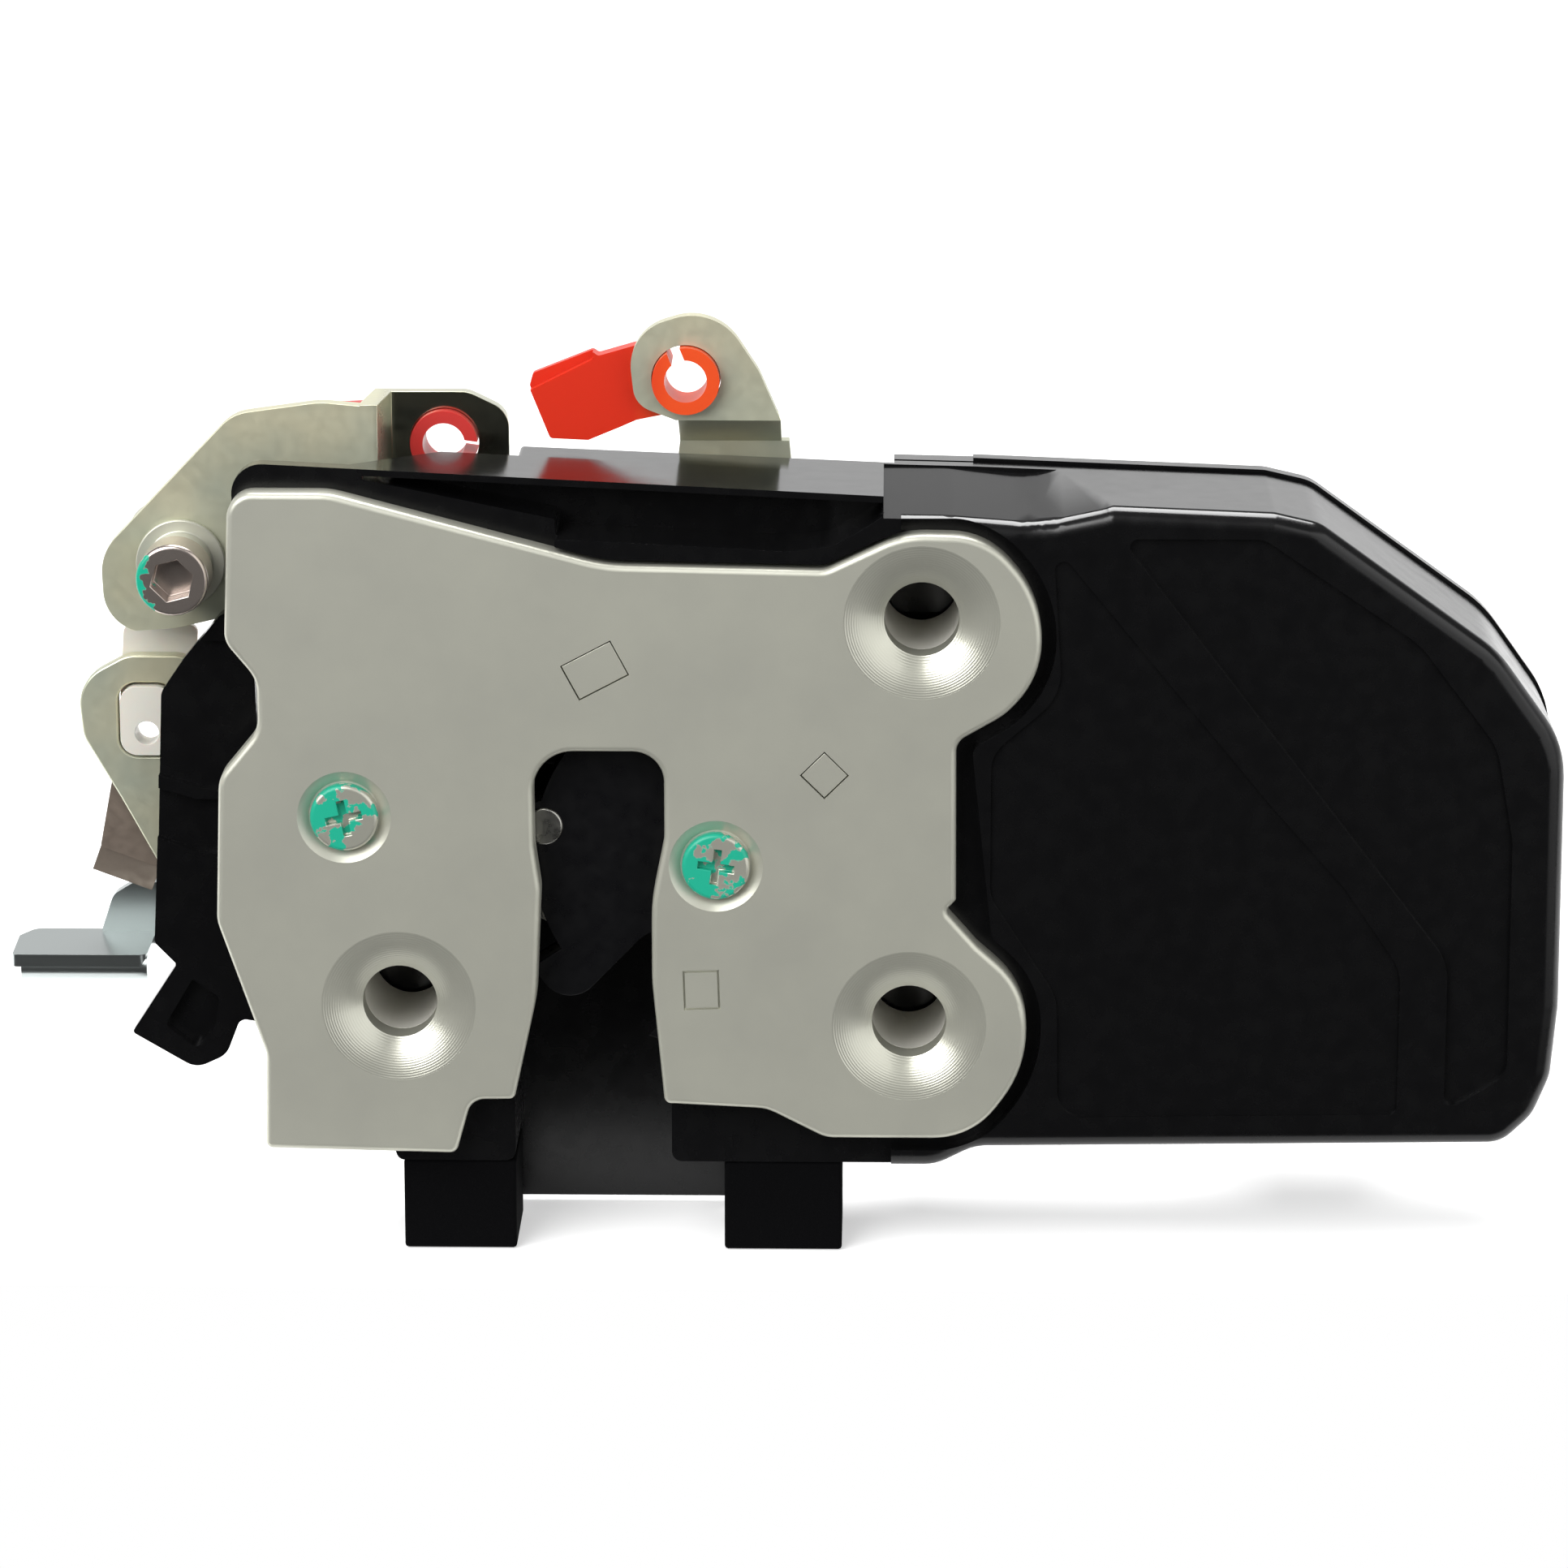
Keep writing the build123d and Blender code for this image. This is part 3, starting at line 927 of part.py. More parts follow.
def latch_cover():
    """Plastic cover over the rear pocket of the latch."""
    right = CASE_LEFT - LOOSE
    face = outline([(SHELL_LEFT, 60.6, 0.5), (right, 58.6, 1.0), (right, MOUTH_BOTTOM, 0.5),
                    (-0.6, MOUTH_BOTTOM, 1.0), (-0.6, -14.0, 1.0), (SHELL_LEFT, -8.0, 1.0)])
    cover = slab(face, SHELL_BACK, SHELL_BACK + COVER_T)
    cover -= bar(LOCK_AXIS, LOCK_PIN_D + 2.4 + 2 * LOOSE, SHELL_BACK - 1, SHELL_BACK + COVER_T + 1)
    tail = (LOCK_AXIS[0], LOCK_AXIS[1] - TAIL_REACH)
    window = Pos(tail[0] - LINK_TRAVEL / 2, tail[1] + 0.6) * Rectangle(LINK_TRAVEL + 6.4, 7.6)
    return cover - slab(window, SHELL_BACK - 1, SHELL_BACK + COVER_T + 1)


# Actuator: motor with worm, worm wheel with pinion, and the toothed link
WHEEL_TEETH = 30
WHEEL_R = 10.0
WHEEL_T = 4.4
TOOTH_DEPTH = 0.62
WORM_R = 2.2
WORM_THROW = 0.75
WORM_L = 13.0
WORM_PHASE = 140.0
MESH_GAP = 0.35
PINION_TEETH = 15
PINION_T = 3.0
RACK_TEETH = 7
RACK_DEPTH = 1.1
RACK_GAP = 0.25
LINK_BOTTOM = 33.4
LINK_H = 5.0
LINK_REACH = 9.0      # length of the link beyond the wheel's axis
LINK_HEAD_W = 8.8
LINK_HEAD_TOP = 41.6
LINK_SLOT_UP = 3.1
WHEEL_X = 88.0
AXLE_D = 3.0
SHAFT_D = 2.0
MOTOR_W = 20.0
MOTOR_DEPTH = 14.0
BEARING_D = 5.2
MOTOR_L = 25.0
MOTOR_WALL = 0.8
MOTOR_X = WHEEL_X + WORM_L / 2 + 4.0
WHEEL_AXIS = (WHEEL_X, LINK_BOTTOM - RACK_DEPTH / 2 - PINION_R)
MOTOR_Z = WHEEL_AXIS[1] - WHEEL_R - WORM_R - MESH_GAP
LINK_FRONT = BACK_PLATE_BACK + 1.2
WHEEL_FRONT = LINK_FRONT - 0.4 - WHEEL_T
MOTOR_Y = WHEEL_FRONT + WHEEL_T / 2


def toothed_face(radius, teeth, depth, share):
    """Round blank with straight-sided teeth; share is a tooth's part of the pitch."""
    inner = radius - depth
    outer = radius + depth
    step = 360.0 / teeth
    points = []
    for i in range(teeth):
        middle = i * step
        for r, part in ((inner, -0.78), (outer, -share), (outer, share), (inner, 0.78)):
            angle = math.radians(middle + part * step / 2)
            points.append((r * math.cos(angle), r * math.sin(angle)))
    return make_face(Polyline(*points, close=True))


def worm():
    """Single-start plastic worm with a round thread, on the motor's shaft."""
    lead = 2 * math.pi * WHEEL_R / WHEEL_TEETH
    turns = WORM_L / lead
    place = Plane(origin=(WHEEL_X - WORM_L / 2, MOTOR_Y, MOTOR_Z), x_dir=(0, 0, 1), z_dir=(1, 0, 0))
    outer = Pos(WORM_THROW, 0) * Circle(WORM_R - 0.1)
    thread = Solid.extrude_linear_with_rotation(outer.face(), (0, 0, 0), (0, 0, WORM_L), 360.0 * turns)
    thread = Part([thread]) - Cylinder(SHAFT_D / 2 + 0.01, 4 * WORM_L)
    return place.location * Rot(Z=WORM_PHASE) * thread


def worm_wheel():
    """Plastic worm wheel with its pinion in one moulding."""
    lead_angle = math.atan2(2 * math.pi * WHEEL_R / WHEEL_TEETH, 2 * math.pi * WORM_R)
    twist = math.degrees(WHEEL_T * math.tan(lead_angle) / WHEEL_R)
    face = toothed_face(WHEEL_R, WHEEL_TEETH, TOOTH_DEPTH, 0.22)
    rim = Solid.extrude_linear_with_rotation(face.face(), (0, 0, 0), (0, 0, WHEEL_T), twist)
    place = Plane(origin=(WHEEL_AXIS[0], WHEEL_FRONT + WHEEL_T, WHEEL_AXIS[1]), x_dir=(1, 0, 0),
                  z_dir=(0, -1, 0))
    wheel = place.location * Rot(Z=-twist / 2 + 90 + 180) * Part([rim])
    pinion = turned(toothed_face(PINION_R, PINION_TEETH, RACK_DEPTH / 2, 0.36), WHEEL_AXIS, 90)
    wheel += slab(pinion, WHEEL_FRONT + WHEEL_T - 0.05, WHEEL_FRONT + WHEEL_T + 0.4 + PINION_T)
    return wheel - bar(WHEEL_AXIS, AXLE_D + 2 * RUNNING, WHEEL_FRONT - 1, CASE_BACK)


def wheel_axle():
    """Steel axle of the worm wheel, pressed in the case."""
    return bar(WHEEL_AXIS, AXLE_D, CASE_FRONT + CASE_WALL, CASE_BACK - 0.2)


def lock_link():
    """Toothed link that carries the actuator's stroke to the lock lever."""
    left = LOCK_AXIS[0] - 4.4
    body = block(left, WHEEL_X + LINK_REACH, LINK_FRONT, LINK_FRONT + LINK_T, LINK_BOTTOM,
                 LINK_BOTTOM + LINK_H)
    tail_z = LOCK_AXIS[1] - TAIL_REACH
    body += block(left, left + LINK_HEAD_W, LINK_FRONT, LINK_FRONT + LINK_T, LINK_BOTTOM, LINK_HEAD_TOP)
    slot = Pos(LOCK_AXIS[0], tail_z) * Rectangle(TAIL_PIN_D + 2 * LOOSE, 2 * LINK_SLOT_UP)
    body -= slab(slot, LINK_FRONT - 1, LINK_FRONT + LINK_T + 1)
    pitch = 2 * math.pi * PINION_R / PINION_TEETH
    for i in range(RACK_TEETH):
        x = WHEEL_X + (i - RACK_TEETH / 2 + 0.5 + 0.5) * pitch
        half = 0.42 * pitch / 2
        tooth = Polyline((x - half - 0.2, LINK_BOTTOM + 0.1), (x + half + 0.2, LINK_BOTTOM + 0.1),
                         (x + half - 0.25, LINK_BOTTOM - RACK_DEPTH + RACK_GAP),
                         (x - half + 0.25, LINK_BOTTOM - RACK_DEPTH + RACK_GAP), close=True)
        body += slab(make_face(tooth), LINK_FRONT, LINK_FRONT + LINK_T)
    return body


def motor_section(width, depth):
    """Flat-sided round section of the motor about its shaft."""
    disc = Circle(width / 2)
    return disc & Rectangle(2 * width, depth)


def motor_can():
    """Drawn steel can of the motor, closed at the shaft end."""
    place = Plane(origin=(MOTOR_X, MOTOR_Y, MOTOR_Z), x_dir=(0, 0, 1), z_dir=(1, 0, 0))
    can = extrude(place * motor_section(MOTOR_W, MOTOR_DEPTH), amount=MOTOR_L)
    inner = motor_section(MOTOR_W - 2 * MOTOR_WALL, MOTOR_DEPTH - 2 * MOTOR_WALL)
    can -= extrude(place.offset(MOTOR_WALL) * inner, amount=MOTOR_L)
    nose = extrude(place * Circle(3.0), amount=-1.6)
    hole = extrude(place.offset(-3) * Circle(SHAFT_D / 2 + RUNNING), amount=8)
    return can + nose - hole


def motor_end_cap():
    """Plastic end cap of the motor with its two supply tabs."""
    place = Plane(origin=(MOTOR_X + MOTOR_L, MOTOR_Y, MOTOR_Z), x_dir=(0, 0, 1), z_dir=(1, 0, 0))
    cap = extrude(place * motor_section(MOTOR_W, MOTOR_DEPTH), amount=1.6)
    plug = motor_section(MOTOR_W - 2 * MOTOR_WALL - 0.1, MOTOR_DEPTH - 2 * MOTOR_WALL - 0.1)
    cap += extrude(place * plug, amount=-2.0)
    return cap - extrude(place.offset(-3) * Circle(SHAFT_D / 2 + RUNNING), amount=4)


def rotor_shaft():
    """Steel shaft of the motor, carried on past the worm."""
    start = WHEEL_X - WORM_L / 2 - 3.5
    end = MOTOR_X + MOTOR_L + 1.0
    place = Plane(origin=(start, MOTOR_Y, MOTOR_Z), x_dir=(0, 0, 1), z_dir=(1, 0, 0))
    return extrude(place * Circle(SHAFT_D / 2), amount=end - start)


def rotor_core():
    """Three-pole iron core of the motor with its slots."""
    place = Plane(origin=(MOTOR_X + 5.0, MOTOR_Y, MOTOR_Z), x_dir=(0, 0, 1), z_dir=(1, 0, 0))
    disc = Circle(5.4) - Circle(SHAFT_D / 2 + 0.01)
    for i in range(3):
        disc -= Rot(Z=120 * i) * (Pos(4.4, 0) * Rectangle(4.0, 1.4))
    return extrude(place * disc, amount=12.0)


def motor_magnets():
    """Two curved magnets inside the motor can."""
    place = Plane(origin=(MOTOR_X + 5.0, MOTOR_Y, MOTOR_Z), x_dir=(0, 0, 1), z_dir=(1, 0, 0))
    ring = Circle(MOTOR_W / 2 - MOTOR_WALL - 0.02) - Circle(5.8)
    cheek = ring & Pos(10.0, 0) * Rectangle(10.0, 11.0)
    pair = [extrude(place * Rot(Z=turn) * cheek, amount=12.0) for turn in (0, 180)]
    return Compound(children=[magnet.solid() for magnet in pair])


def shaft_bearing():
    """Bronze bush that steadies the free end of the worm shaft."""
    start = WHEEL_X - WORM_L / 2 - 3.0
    place = Plane(origin=(start, MOTOR_Y, MOTOR_Z), x_dir=(0, 0, 1), z_dir=(1, 0, 0))
    return extrude(place * (Circle(BEARING_D / 2) - Circle(SHAFT_D / 2 + RUNNING)), amount=2.4)


# Lid, seal, screws and connector at the back of the case
LID_SCREWS = [(73.2, 46.4), (73.2, -9.4), (104.0, 49.5), (CASE_RIGHT - 6.2, 31.2),
              (CASE_RIGHT - 6.6, -10.4)]
LID_SCREW_D = 2.9
LID_SCREW_HEAD_D = 6.0
LID_SCREW_L = 8.0
LID_BOSS_D = 7.0
LID_RIM = 0.4
SEAL_T = 0.8
SEAL_W = 1.2
SEAL_INSET = 0.4
SOCKET_X = CASE_RIGHT - 25.6
SOCKET_Z = -4.0
SOCKET_W = 22.0
SOCKET_H = 12.0
SOCKET_L = 13.0
SOCKET_WALL = 1.4
PINS = 4
PIN_PITCH = 3.6
PIN_W = 1.0
PIN_DEPTH = 6.0


def lid_seal():
    """Rubber cord seal round the room of the case, under its lid."""
    ring = offset(room_face(), amount=SEAL_INSET + SEAL_W) - offset(room_face(), amount=SEAL_INSET)
    return slab(ring, CASE_BACK, CASE_BACK + SEAL_T)


def case_lid():
    """Lid that closes the back of the actuator case, with a rim all round."""
    back = CASE_BACK + SEAL_T
    lid = slab(offset(case_face(), amount=LID_RIM), back, back + LID_T)
    lid = fillet(lid.faces().sort_by(Axis.Y)[-1].edges(), 1.0)
    beyond = offset(case_face(), amount=1.0) - case_face()
    lid -= slab(beyond, back - 1, back + LID_T + 1) & block(-10, CASE_JOIN, 0, 60, -60, 90)
    lid -= slab(offset(case_face(), amount=-3.5), back - 1, back + LID_T - 1.6)
    for spot in LID_SCREWS:
        lid += bar(spot, LID_BOSS_D, back, back + LID_T)
        lid -= bar(spot, LID_SCREW_D + 0.5, back - 1, back + LID_T + 1)
    hole = Pos(SOCKET_X, SOCKET_Z) * Rectangle(SOCKET_W, SOCKET_H)
    return lid - slab(hole, back - 1, back + LID_T + 1)


def connector_socket():
    """Rectangular plug socket moulded for the lid."""
    front = CASE_BACK - 1.0
    back = CASE_BACK + SEAL_T + LID_T + SOCKET_L
    shell = slab(Pos(SOCKET_X, SOCKET_Z) * RectangleRounded(SOCKET_W - 0.1, SOCKET_H - 0.1, 1.5),
                 front, back)
    inner = RectangleRounded(SOCKET_W - 2 * SOCKET_WALL, SOCKET_H - 2 * SOCKET_WALL, 0.8)
    shell -= slab(Pos(SOCKET_X, SOCKET_Z) * inner, CASE_BACK + SEAL_T + LID_T, back + 1)
    flange = Pos(SOCKET_X, SOCKET_Z) * RectangleRounded(SOCKET_W + 3, SOCKET_H + 3, 1.5)
    shell += slab(flange, front - 0.4, CASE_BACK + SEAL_T + LID_T - 1.6 - 0.02)
    for x in pin_places():
        shell -= slab(Pos(x, SOCKET_Z) * Rectangle(PIN_W + 0.02, PIN_W + 0.02), front - 2, back)
    return shell


def pin_places():
    """X of each contact pin."""
    first = SOCKET_X - PIN_PITCH * (PINS - 1) / 2
    return [first + i * PIN_PITCH for i in range(PINS)]


def connector_pins():
    """Tinned contact pins through the socket."""
    front = CASE_BACK - 3.0
    back = CASE_BACK + SEAL_T + LID_T + SOCKET_L - PIN_DEPTH
    pins = [slab(Pos(x, SOCKET_Z) * Rectangle(PIN_W, PIN_W), front, back) for x in pin_places()]
    return Compound(children=[pin.solid() for pin in pins])


def lid_screws():
    """Pan-head self-tapping screws round the lid."""
    screws = []
    seat = CASE_BACK + SEAL_T + LID_T
    for spot in LID_SCREWS:
        head = bar(spot, LID_SCREW_HEAD_D, seat, seat + 1.9)
        head = fillet(head.faces().sort_by(Axis.Y)[-1].edges(), 0.8)
        arm = Rectangle(3.2, 0.8) + Rectangle(0.8, 3.2)
        head -= slab(turned(arm, spot, 20), seat + 0.9, seat + 3)
        screws.append((head + bar(spot, LID_SCREW_D, CASE_BACK - LID_SCREW_L + 1, seat)).solid())
    return Compound(children=screws)


parts = {
    "frame_plate": frame_plate,
    "anchor_nuts": anchor_nuts,
    "main_housing": main_housing,
    "back_plate": back_plate,
    "fork_post": lambda: pivot_post(FORK_AXIS, FORK_POST_D),
    "pawl_post": lambda: pivot_post(PAWL_AXIS, PAWL_POST_D),
    "plate_screws": plate_screws,
    "fork_core": fork_core,
    "fork_cover": fork_cover,
    "fork_pin": fork_pin,
    "pawl": pawl,
    "pawl_lift_pin": pawl_lift_pin,
    "fork_spring": fork_spring,
    "pawl_spring": pawl_spring,
    "striker_bumper": striker_bumper,
    "seal_pads": seal_pads,
    "release_lever": release_lever,
    "pivot_bush": pivot_bush,
    "pivot_bolt": pivot_bolt,
    "pivot_nut": pivot_nut,
    "release_spring": release_spring,
    "red_rod_clip": red_rod_clip,
    "side_lever": side_lever,
    "white_rod_clip": white_rod_clip,
    "side_bracket": side_bracket,
    "side_spacers": side_spacers,
    "side_pin": side_pin,
    "inside_arm": inside_arm,
    "top_lever": top_lever,
    "tail_pin": tail_pin,
    "orange_rod_clip": orange_rod_clip,
    "lock_pin": lock_pin,
    "latch_cover": latch_cover,
    "lock_link": lock_link,
    "worm_wheel": worm_wheel,
    "wheel_axle": wheel_axle,
    "worm": worm,
    "rotor_shaft": rotor_shaft,
    "rotor_core": rotor_core,
    "motor_can": motor_can,
    "motor_magnets": motor_magnets,
    "motor_end_cap": motor_end_cap,
    "shaft_bearing": shaft_bearing,
    "lid_seal": lid_seal,
    "case_lid": case_lid,
    "lid_screws": lid_screws,
    "connector_socket": connector_socket,
    "connector_pins": connector_pins,
}

for name, make in parts.items():
    shape = make()
    export_step(shape, f"parts/{name}.step")
    print(name, round(shape.volume, 1))
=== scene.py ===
import json
import math

import bmesh
import bpy
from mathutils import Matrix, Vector

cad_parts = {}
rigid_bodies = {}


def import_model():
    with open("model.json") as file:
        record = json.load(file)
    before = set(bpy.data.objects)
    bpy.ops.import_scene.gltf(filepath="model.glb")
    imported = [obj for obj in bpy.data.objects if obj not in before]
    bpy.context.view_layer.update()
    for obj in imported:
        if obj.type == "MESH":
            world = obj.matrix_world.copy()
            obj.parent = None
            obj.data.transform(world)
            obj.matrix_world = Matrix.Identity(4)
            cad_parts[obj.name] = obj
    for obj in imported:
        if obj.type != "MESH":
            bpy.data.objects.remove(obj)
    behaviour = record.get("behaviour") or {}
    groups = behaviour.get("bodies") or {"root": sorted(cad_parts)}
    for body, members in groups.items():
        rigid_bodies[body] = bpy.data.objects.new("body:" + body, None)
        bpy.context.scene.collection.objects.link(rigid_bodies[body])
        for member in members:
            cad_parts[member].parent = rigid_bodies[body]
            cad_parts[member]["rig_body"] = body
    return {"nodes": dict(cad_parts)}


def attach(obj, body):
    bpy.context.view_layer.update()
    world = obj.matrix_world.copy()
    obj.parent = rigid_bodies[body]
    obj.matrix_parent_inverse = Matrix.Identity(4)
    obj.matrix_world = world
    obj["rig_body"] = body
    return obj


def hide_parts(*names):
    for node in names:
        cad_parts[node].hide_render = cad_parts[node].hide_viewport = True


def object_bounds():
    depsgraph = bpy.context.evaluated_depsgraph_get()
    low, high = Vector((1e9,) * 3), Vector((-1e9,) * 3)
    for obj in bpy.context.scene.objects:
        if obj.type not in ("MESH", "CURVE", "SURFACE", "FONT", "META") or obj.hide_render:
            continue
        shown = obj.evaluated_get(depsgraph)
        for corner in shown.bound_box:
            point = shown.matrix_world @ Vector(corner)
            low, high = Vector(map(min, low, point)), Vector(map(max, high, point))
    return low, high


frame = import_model()
cad_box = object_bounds()
MM = 0.001

# Front plate: cold-rolled steel about 3 mm thick, blanked with rolled-over edges and pressed
# into three dished bores, then zinc plated. It is screwed to the two pivot posts and held by
# the staked legs of the back plate.
BORE_AXES = [(0.0, 0.0), (60.0 * MM, 45.6 * MM), (58.8 * MM, -2.1 * MM)]
DISH_RADIUS = 8.9 * MM
DISH_ROUGHNESS = 0.29
TURNING_PITCH = 0.28 * MM
ZINC_CLOUD = 14.0 * MM
ZINC_CRYSTAL = 0.35 * MM
ZINC_RELIEF = 0.008 * MM
ZINC_LIGHT = "#CCCCBE"
ZINC_DULL = "#BCBCB0"
SAME_POINT = 0.001 * MM
COPLANAR = math.radians(0.3)
RIM_ANGLE = 0.03
FLAT_FACE_WEIGHT = 80


def linear(code):
    """sRGB hex colour as the linear RGBA that a shader socket holds."""
    channels = [int(code[i:i + 2], 16) / 255 for i in (1, 3, 5)]
    return [c / 12.92 if c <= 0.04045 else ((c + 0.055) / 1.055) ** 2.4 for c in channels] + [1.0]


def add_node(tree, kind, links=(), **settings):
    """One shader node: its settings by name, its links as (own input, other output) pairs."""
    node = tree.nodes.new(kind)
    for name, value in settings.items():
        if name in node.inputs:
            node.inputs[name].default_value = value
        else:
            setattr(node, name, value)
    for own, other in links:
        tree.links.new(node.inputs[own], other)
    return node


def finish_of(name, colour, metallic, roughness, **sockets):
    """New material with one Principled shader; returns it, its tree and the shader."""
    material = bpy.data.materials.new(name)
    material.use_nodes = True
    shader = material.node_tree.nodes["Principled BSDF"]
    shader.inputs["Base Color"].default_value = linear(colour)
    shader.inputs["Metallic"].default_value = metallic
    shader.inputs["Roughness"].default_value = roughness
    for socket, value in sockets.items():
        shader.inputs[socket.replace("_", " ")].default_value = value
    return material, material.node_tree, shader


def part_place(tree):
    """Place on the part in metres, in Object coordinates."""
    return add_node(tree, "ShaderNodeTexCoord").outputs["Object"]


def grain(tree, size, detail=3.0):
    """Noise from 0 to 1 whose grain is size metres."""
    return add_node(tree, "ShaderNodeTexNoise", [("Vector", part_place(tree))],
                    Scale=1.0 / size, Detail=detail).outputs["Fac"]


def ranged(tree, value, low, high, start=0.3, end=0.7):
    """Value between start and end spread over low to high."""
    return add_node(tree, "ShaderNodeMapRange", [("Value", value)], **{
        "From Min": start, "From Max": end, "To Min": low, "To Max": high}).outputs["Result"]


def blended(tree, factor, first, second):
    """Colour between two hex colours by a factor."""
    mix = add_node(tree, "ShaderNodeMix", data_type="RGBA")
    tree.links.new(mix.inputs[0], factor)
    mix.inputs[6].default_value = linear(first)
    mix.inputs[7].default_value = linear(second)
    return mix.outputs[2]


def math_of(tree, operation, first, second=None, **settings):
    """Math node's value; first and second are each an output to link or a number."""
    node = add_node(tree, "ShaderNodeMath", operation=operation, **settings)
    for own, value in ((0, first), (1, second)):
        if isinstance(value, bpy.types.NodeSocket):
            tree.links.new(node.inputs[own], value)
        elif value is not None:
            node.inputs[own].default_value = value
    return node.outputs[0]


def mixed(tree, factor, first, second):
    """Value from first to second by a factor; second is an output to link or a number."""
    mix = add_node(tree, "ShaderNodeMix", [(0, factor), (2, first)], data_type="FLOAT")
    if isinstance(second, bpy.types.NodeSocket):
        tree.links.new(mix.inputs[3], second)
    else:
        mix.inputs[3].default_value = second
    return mix.outputs[0]


def raised(tree, shader, height, depth, strength):
    """Bump of a height from 0 to 1 that stands for depth metres."""
    bump = add_node(tree, "ShaderNodeBump", [("Height", height)], Strength=strength, Distance=depth)
    tree.links.new(shader.inputs["Normal"], bump.outputs["Normal"])


def rings(tree, axis):
    """Turning marks round an axis along Y, and 1 inside its dish, 0 outside."""
    centred = add_node(tree, "ShaderNodeMapping", [("Vector", part_place(tree))],
                       Location=(-axis[0], 0.0, -axis[1]), Scale=(1.0, 0.0, 1.0))
    radius = add_node(tree, "ShaderNodeVectorMath", [("Vector", centred.outputs["Vector"])],
                      operation="LENGTH").outputs["Value"]
    turns = math_of(tree, "MULTIPLY", radius, 2 * math.pi / TURNING_PITCH)
    return math_of(tree, "SINE", turns), math_of(tree, "LESS_THAN", radius, DISH_RADIUS)


def zinc_plated_steel():
    """Zinc plate on rolled steel: satin, faintly clouded, with bright turned dishes."""
    material, tree, shader = finish_of("zinc_plated_rolled_steel", ZINC_LIGHT, 0.64, 0.42)
    cloud = grain(tree, ZINC_CLOUD)
    tree.links.new(shader.inputs["Base Color"],
                   blended(tree, ranged(tree, cloud, 0.0, 1.0), ZINC_LIGHT, ZINC_DULL))
    height = grain(tree, ZINC_CRYSTAL, 2.0)
    rough = ranged(tree, cloud, 0.4, 0.46)
    for axis in BORE_AXES:
        wave, inside = rings(tree, axis)
        height = mixed(tree, inside, height, wave)
        rough = mixed(tree, inside, rough, DISH_ROUGHNESS)
    tree.links.new(shader.inputs["Roughness"], rough)
    raised(tree, shader, height, ZINC_RELIEF, 0.7)
    return material


def dressed(name, material, ease=0.0, angle=32.0, split=False):
    """Merged copy of a CAD node in its place, hard edges eased by a bevel, with a material.

    split cuts faces that run round holes into triangles first, which keeps the holes open, and
    keeps the rims of those faces sharp, which keeps them flat.
    """
    source = frame["nodes"][name]
    mesh = source.data.copy()
    shell = bmesh.new()
    shell.from_mesh(mesh)
    bmesh.ops.remove_doubles(shell, verts=shell.verts, dist=SAME_POINT)
    bmesh.ops.dissolve_limit(shell, angle_limit=COPLANAR, verts=shell.verts, edges=shell.edges)
    rims = set()
    if split:
        wide = [face for face in shell.faces if len(face.verts) > 4]
        rims = {edge for face in wide for edge in face.edges
                if edge.calc_face_angle(0.0) > RIM_ANGLE}
        bmesh.ops.triangulate(shell, faces=wide, ngon_method="EAR_CLIP")
    for face in shell.faces:
        face.smooth = True
    for edge in shell.edges:
        edge.smooth = edge not in rims and edge.calc_face_angle(0.0) < math.radians(angle)
    shell.to_mesh(mesh)
    shell.free()
    if "custom_normal" in mesh.attributes:
        mesh.attributes.remove(mesh.attributes["custom_normal"])
    mesh.materials.clear()
    mesh.materials.append(material)
    piece = bpy.data.objects.new(name + "_dressed", mesh)
    bpy.context.scene.collection.objects.link(piece)
    if ease:
        bevel = piece.modifiers.new("eased_edges", "BEVEL")
        bevel.width = ease
        bevel.segments = 2
        bevel.limit_method = "ANGLE"
        bevel.angle_limit = math.radians(angle)
        bevel.harden_normals = split
    if not split:
        even = piece.modifiers.new("flat_faces_first", "WEIGHTED_NORMAL")
        even.keep_sharp = True
        even.weight = FLAT_FACE_WEIGHT
    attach(piece, source["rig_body"])
    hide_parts(name)
    return piece


zinc = zinc_plated_steel()
dressed("frame_plate", zinc, 0.12 * MM, split=True)

# Back plate: flat steel behind the moulding, its two legs staked in the front plate. Zinc plated
# like the front.
dressed("back_plate", zinc, 0.1 * MM)

# Threaded collars: turned steel nuts pressed in behind the dished bores. Their long necks line the
# holes and are reamed bright, clear passivated.
reamed = finish_of("reamed_passivated_steel", "#F2F0E8", 0.4, 0.3)[0]
dressed("anchor_nuts", reamed, 0.1 * MM)

# Housing: glass-filled nylon moulding, near black with a fine spark-eroded grain, that carries
# the latch and forms the front of the actuator case. The rear pocket's cover and the case's lid
# are moulded in the same.
NYLON_BLACK = "#09090A"
EROSION_GRAIN = 0.22 * MM
EROSION_DEPTH = 0.004 * MM
SLOPING_UP = (0.3, 0.9)


def part_of(tree, vector, axis):
    """One component, X, Y or Z, of a vector."""
    return add_node(tree, "ShaderNodeSeparateXYZ", [("Vector", vector)]).outputs[axis]


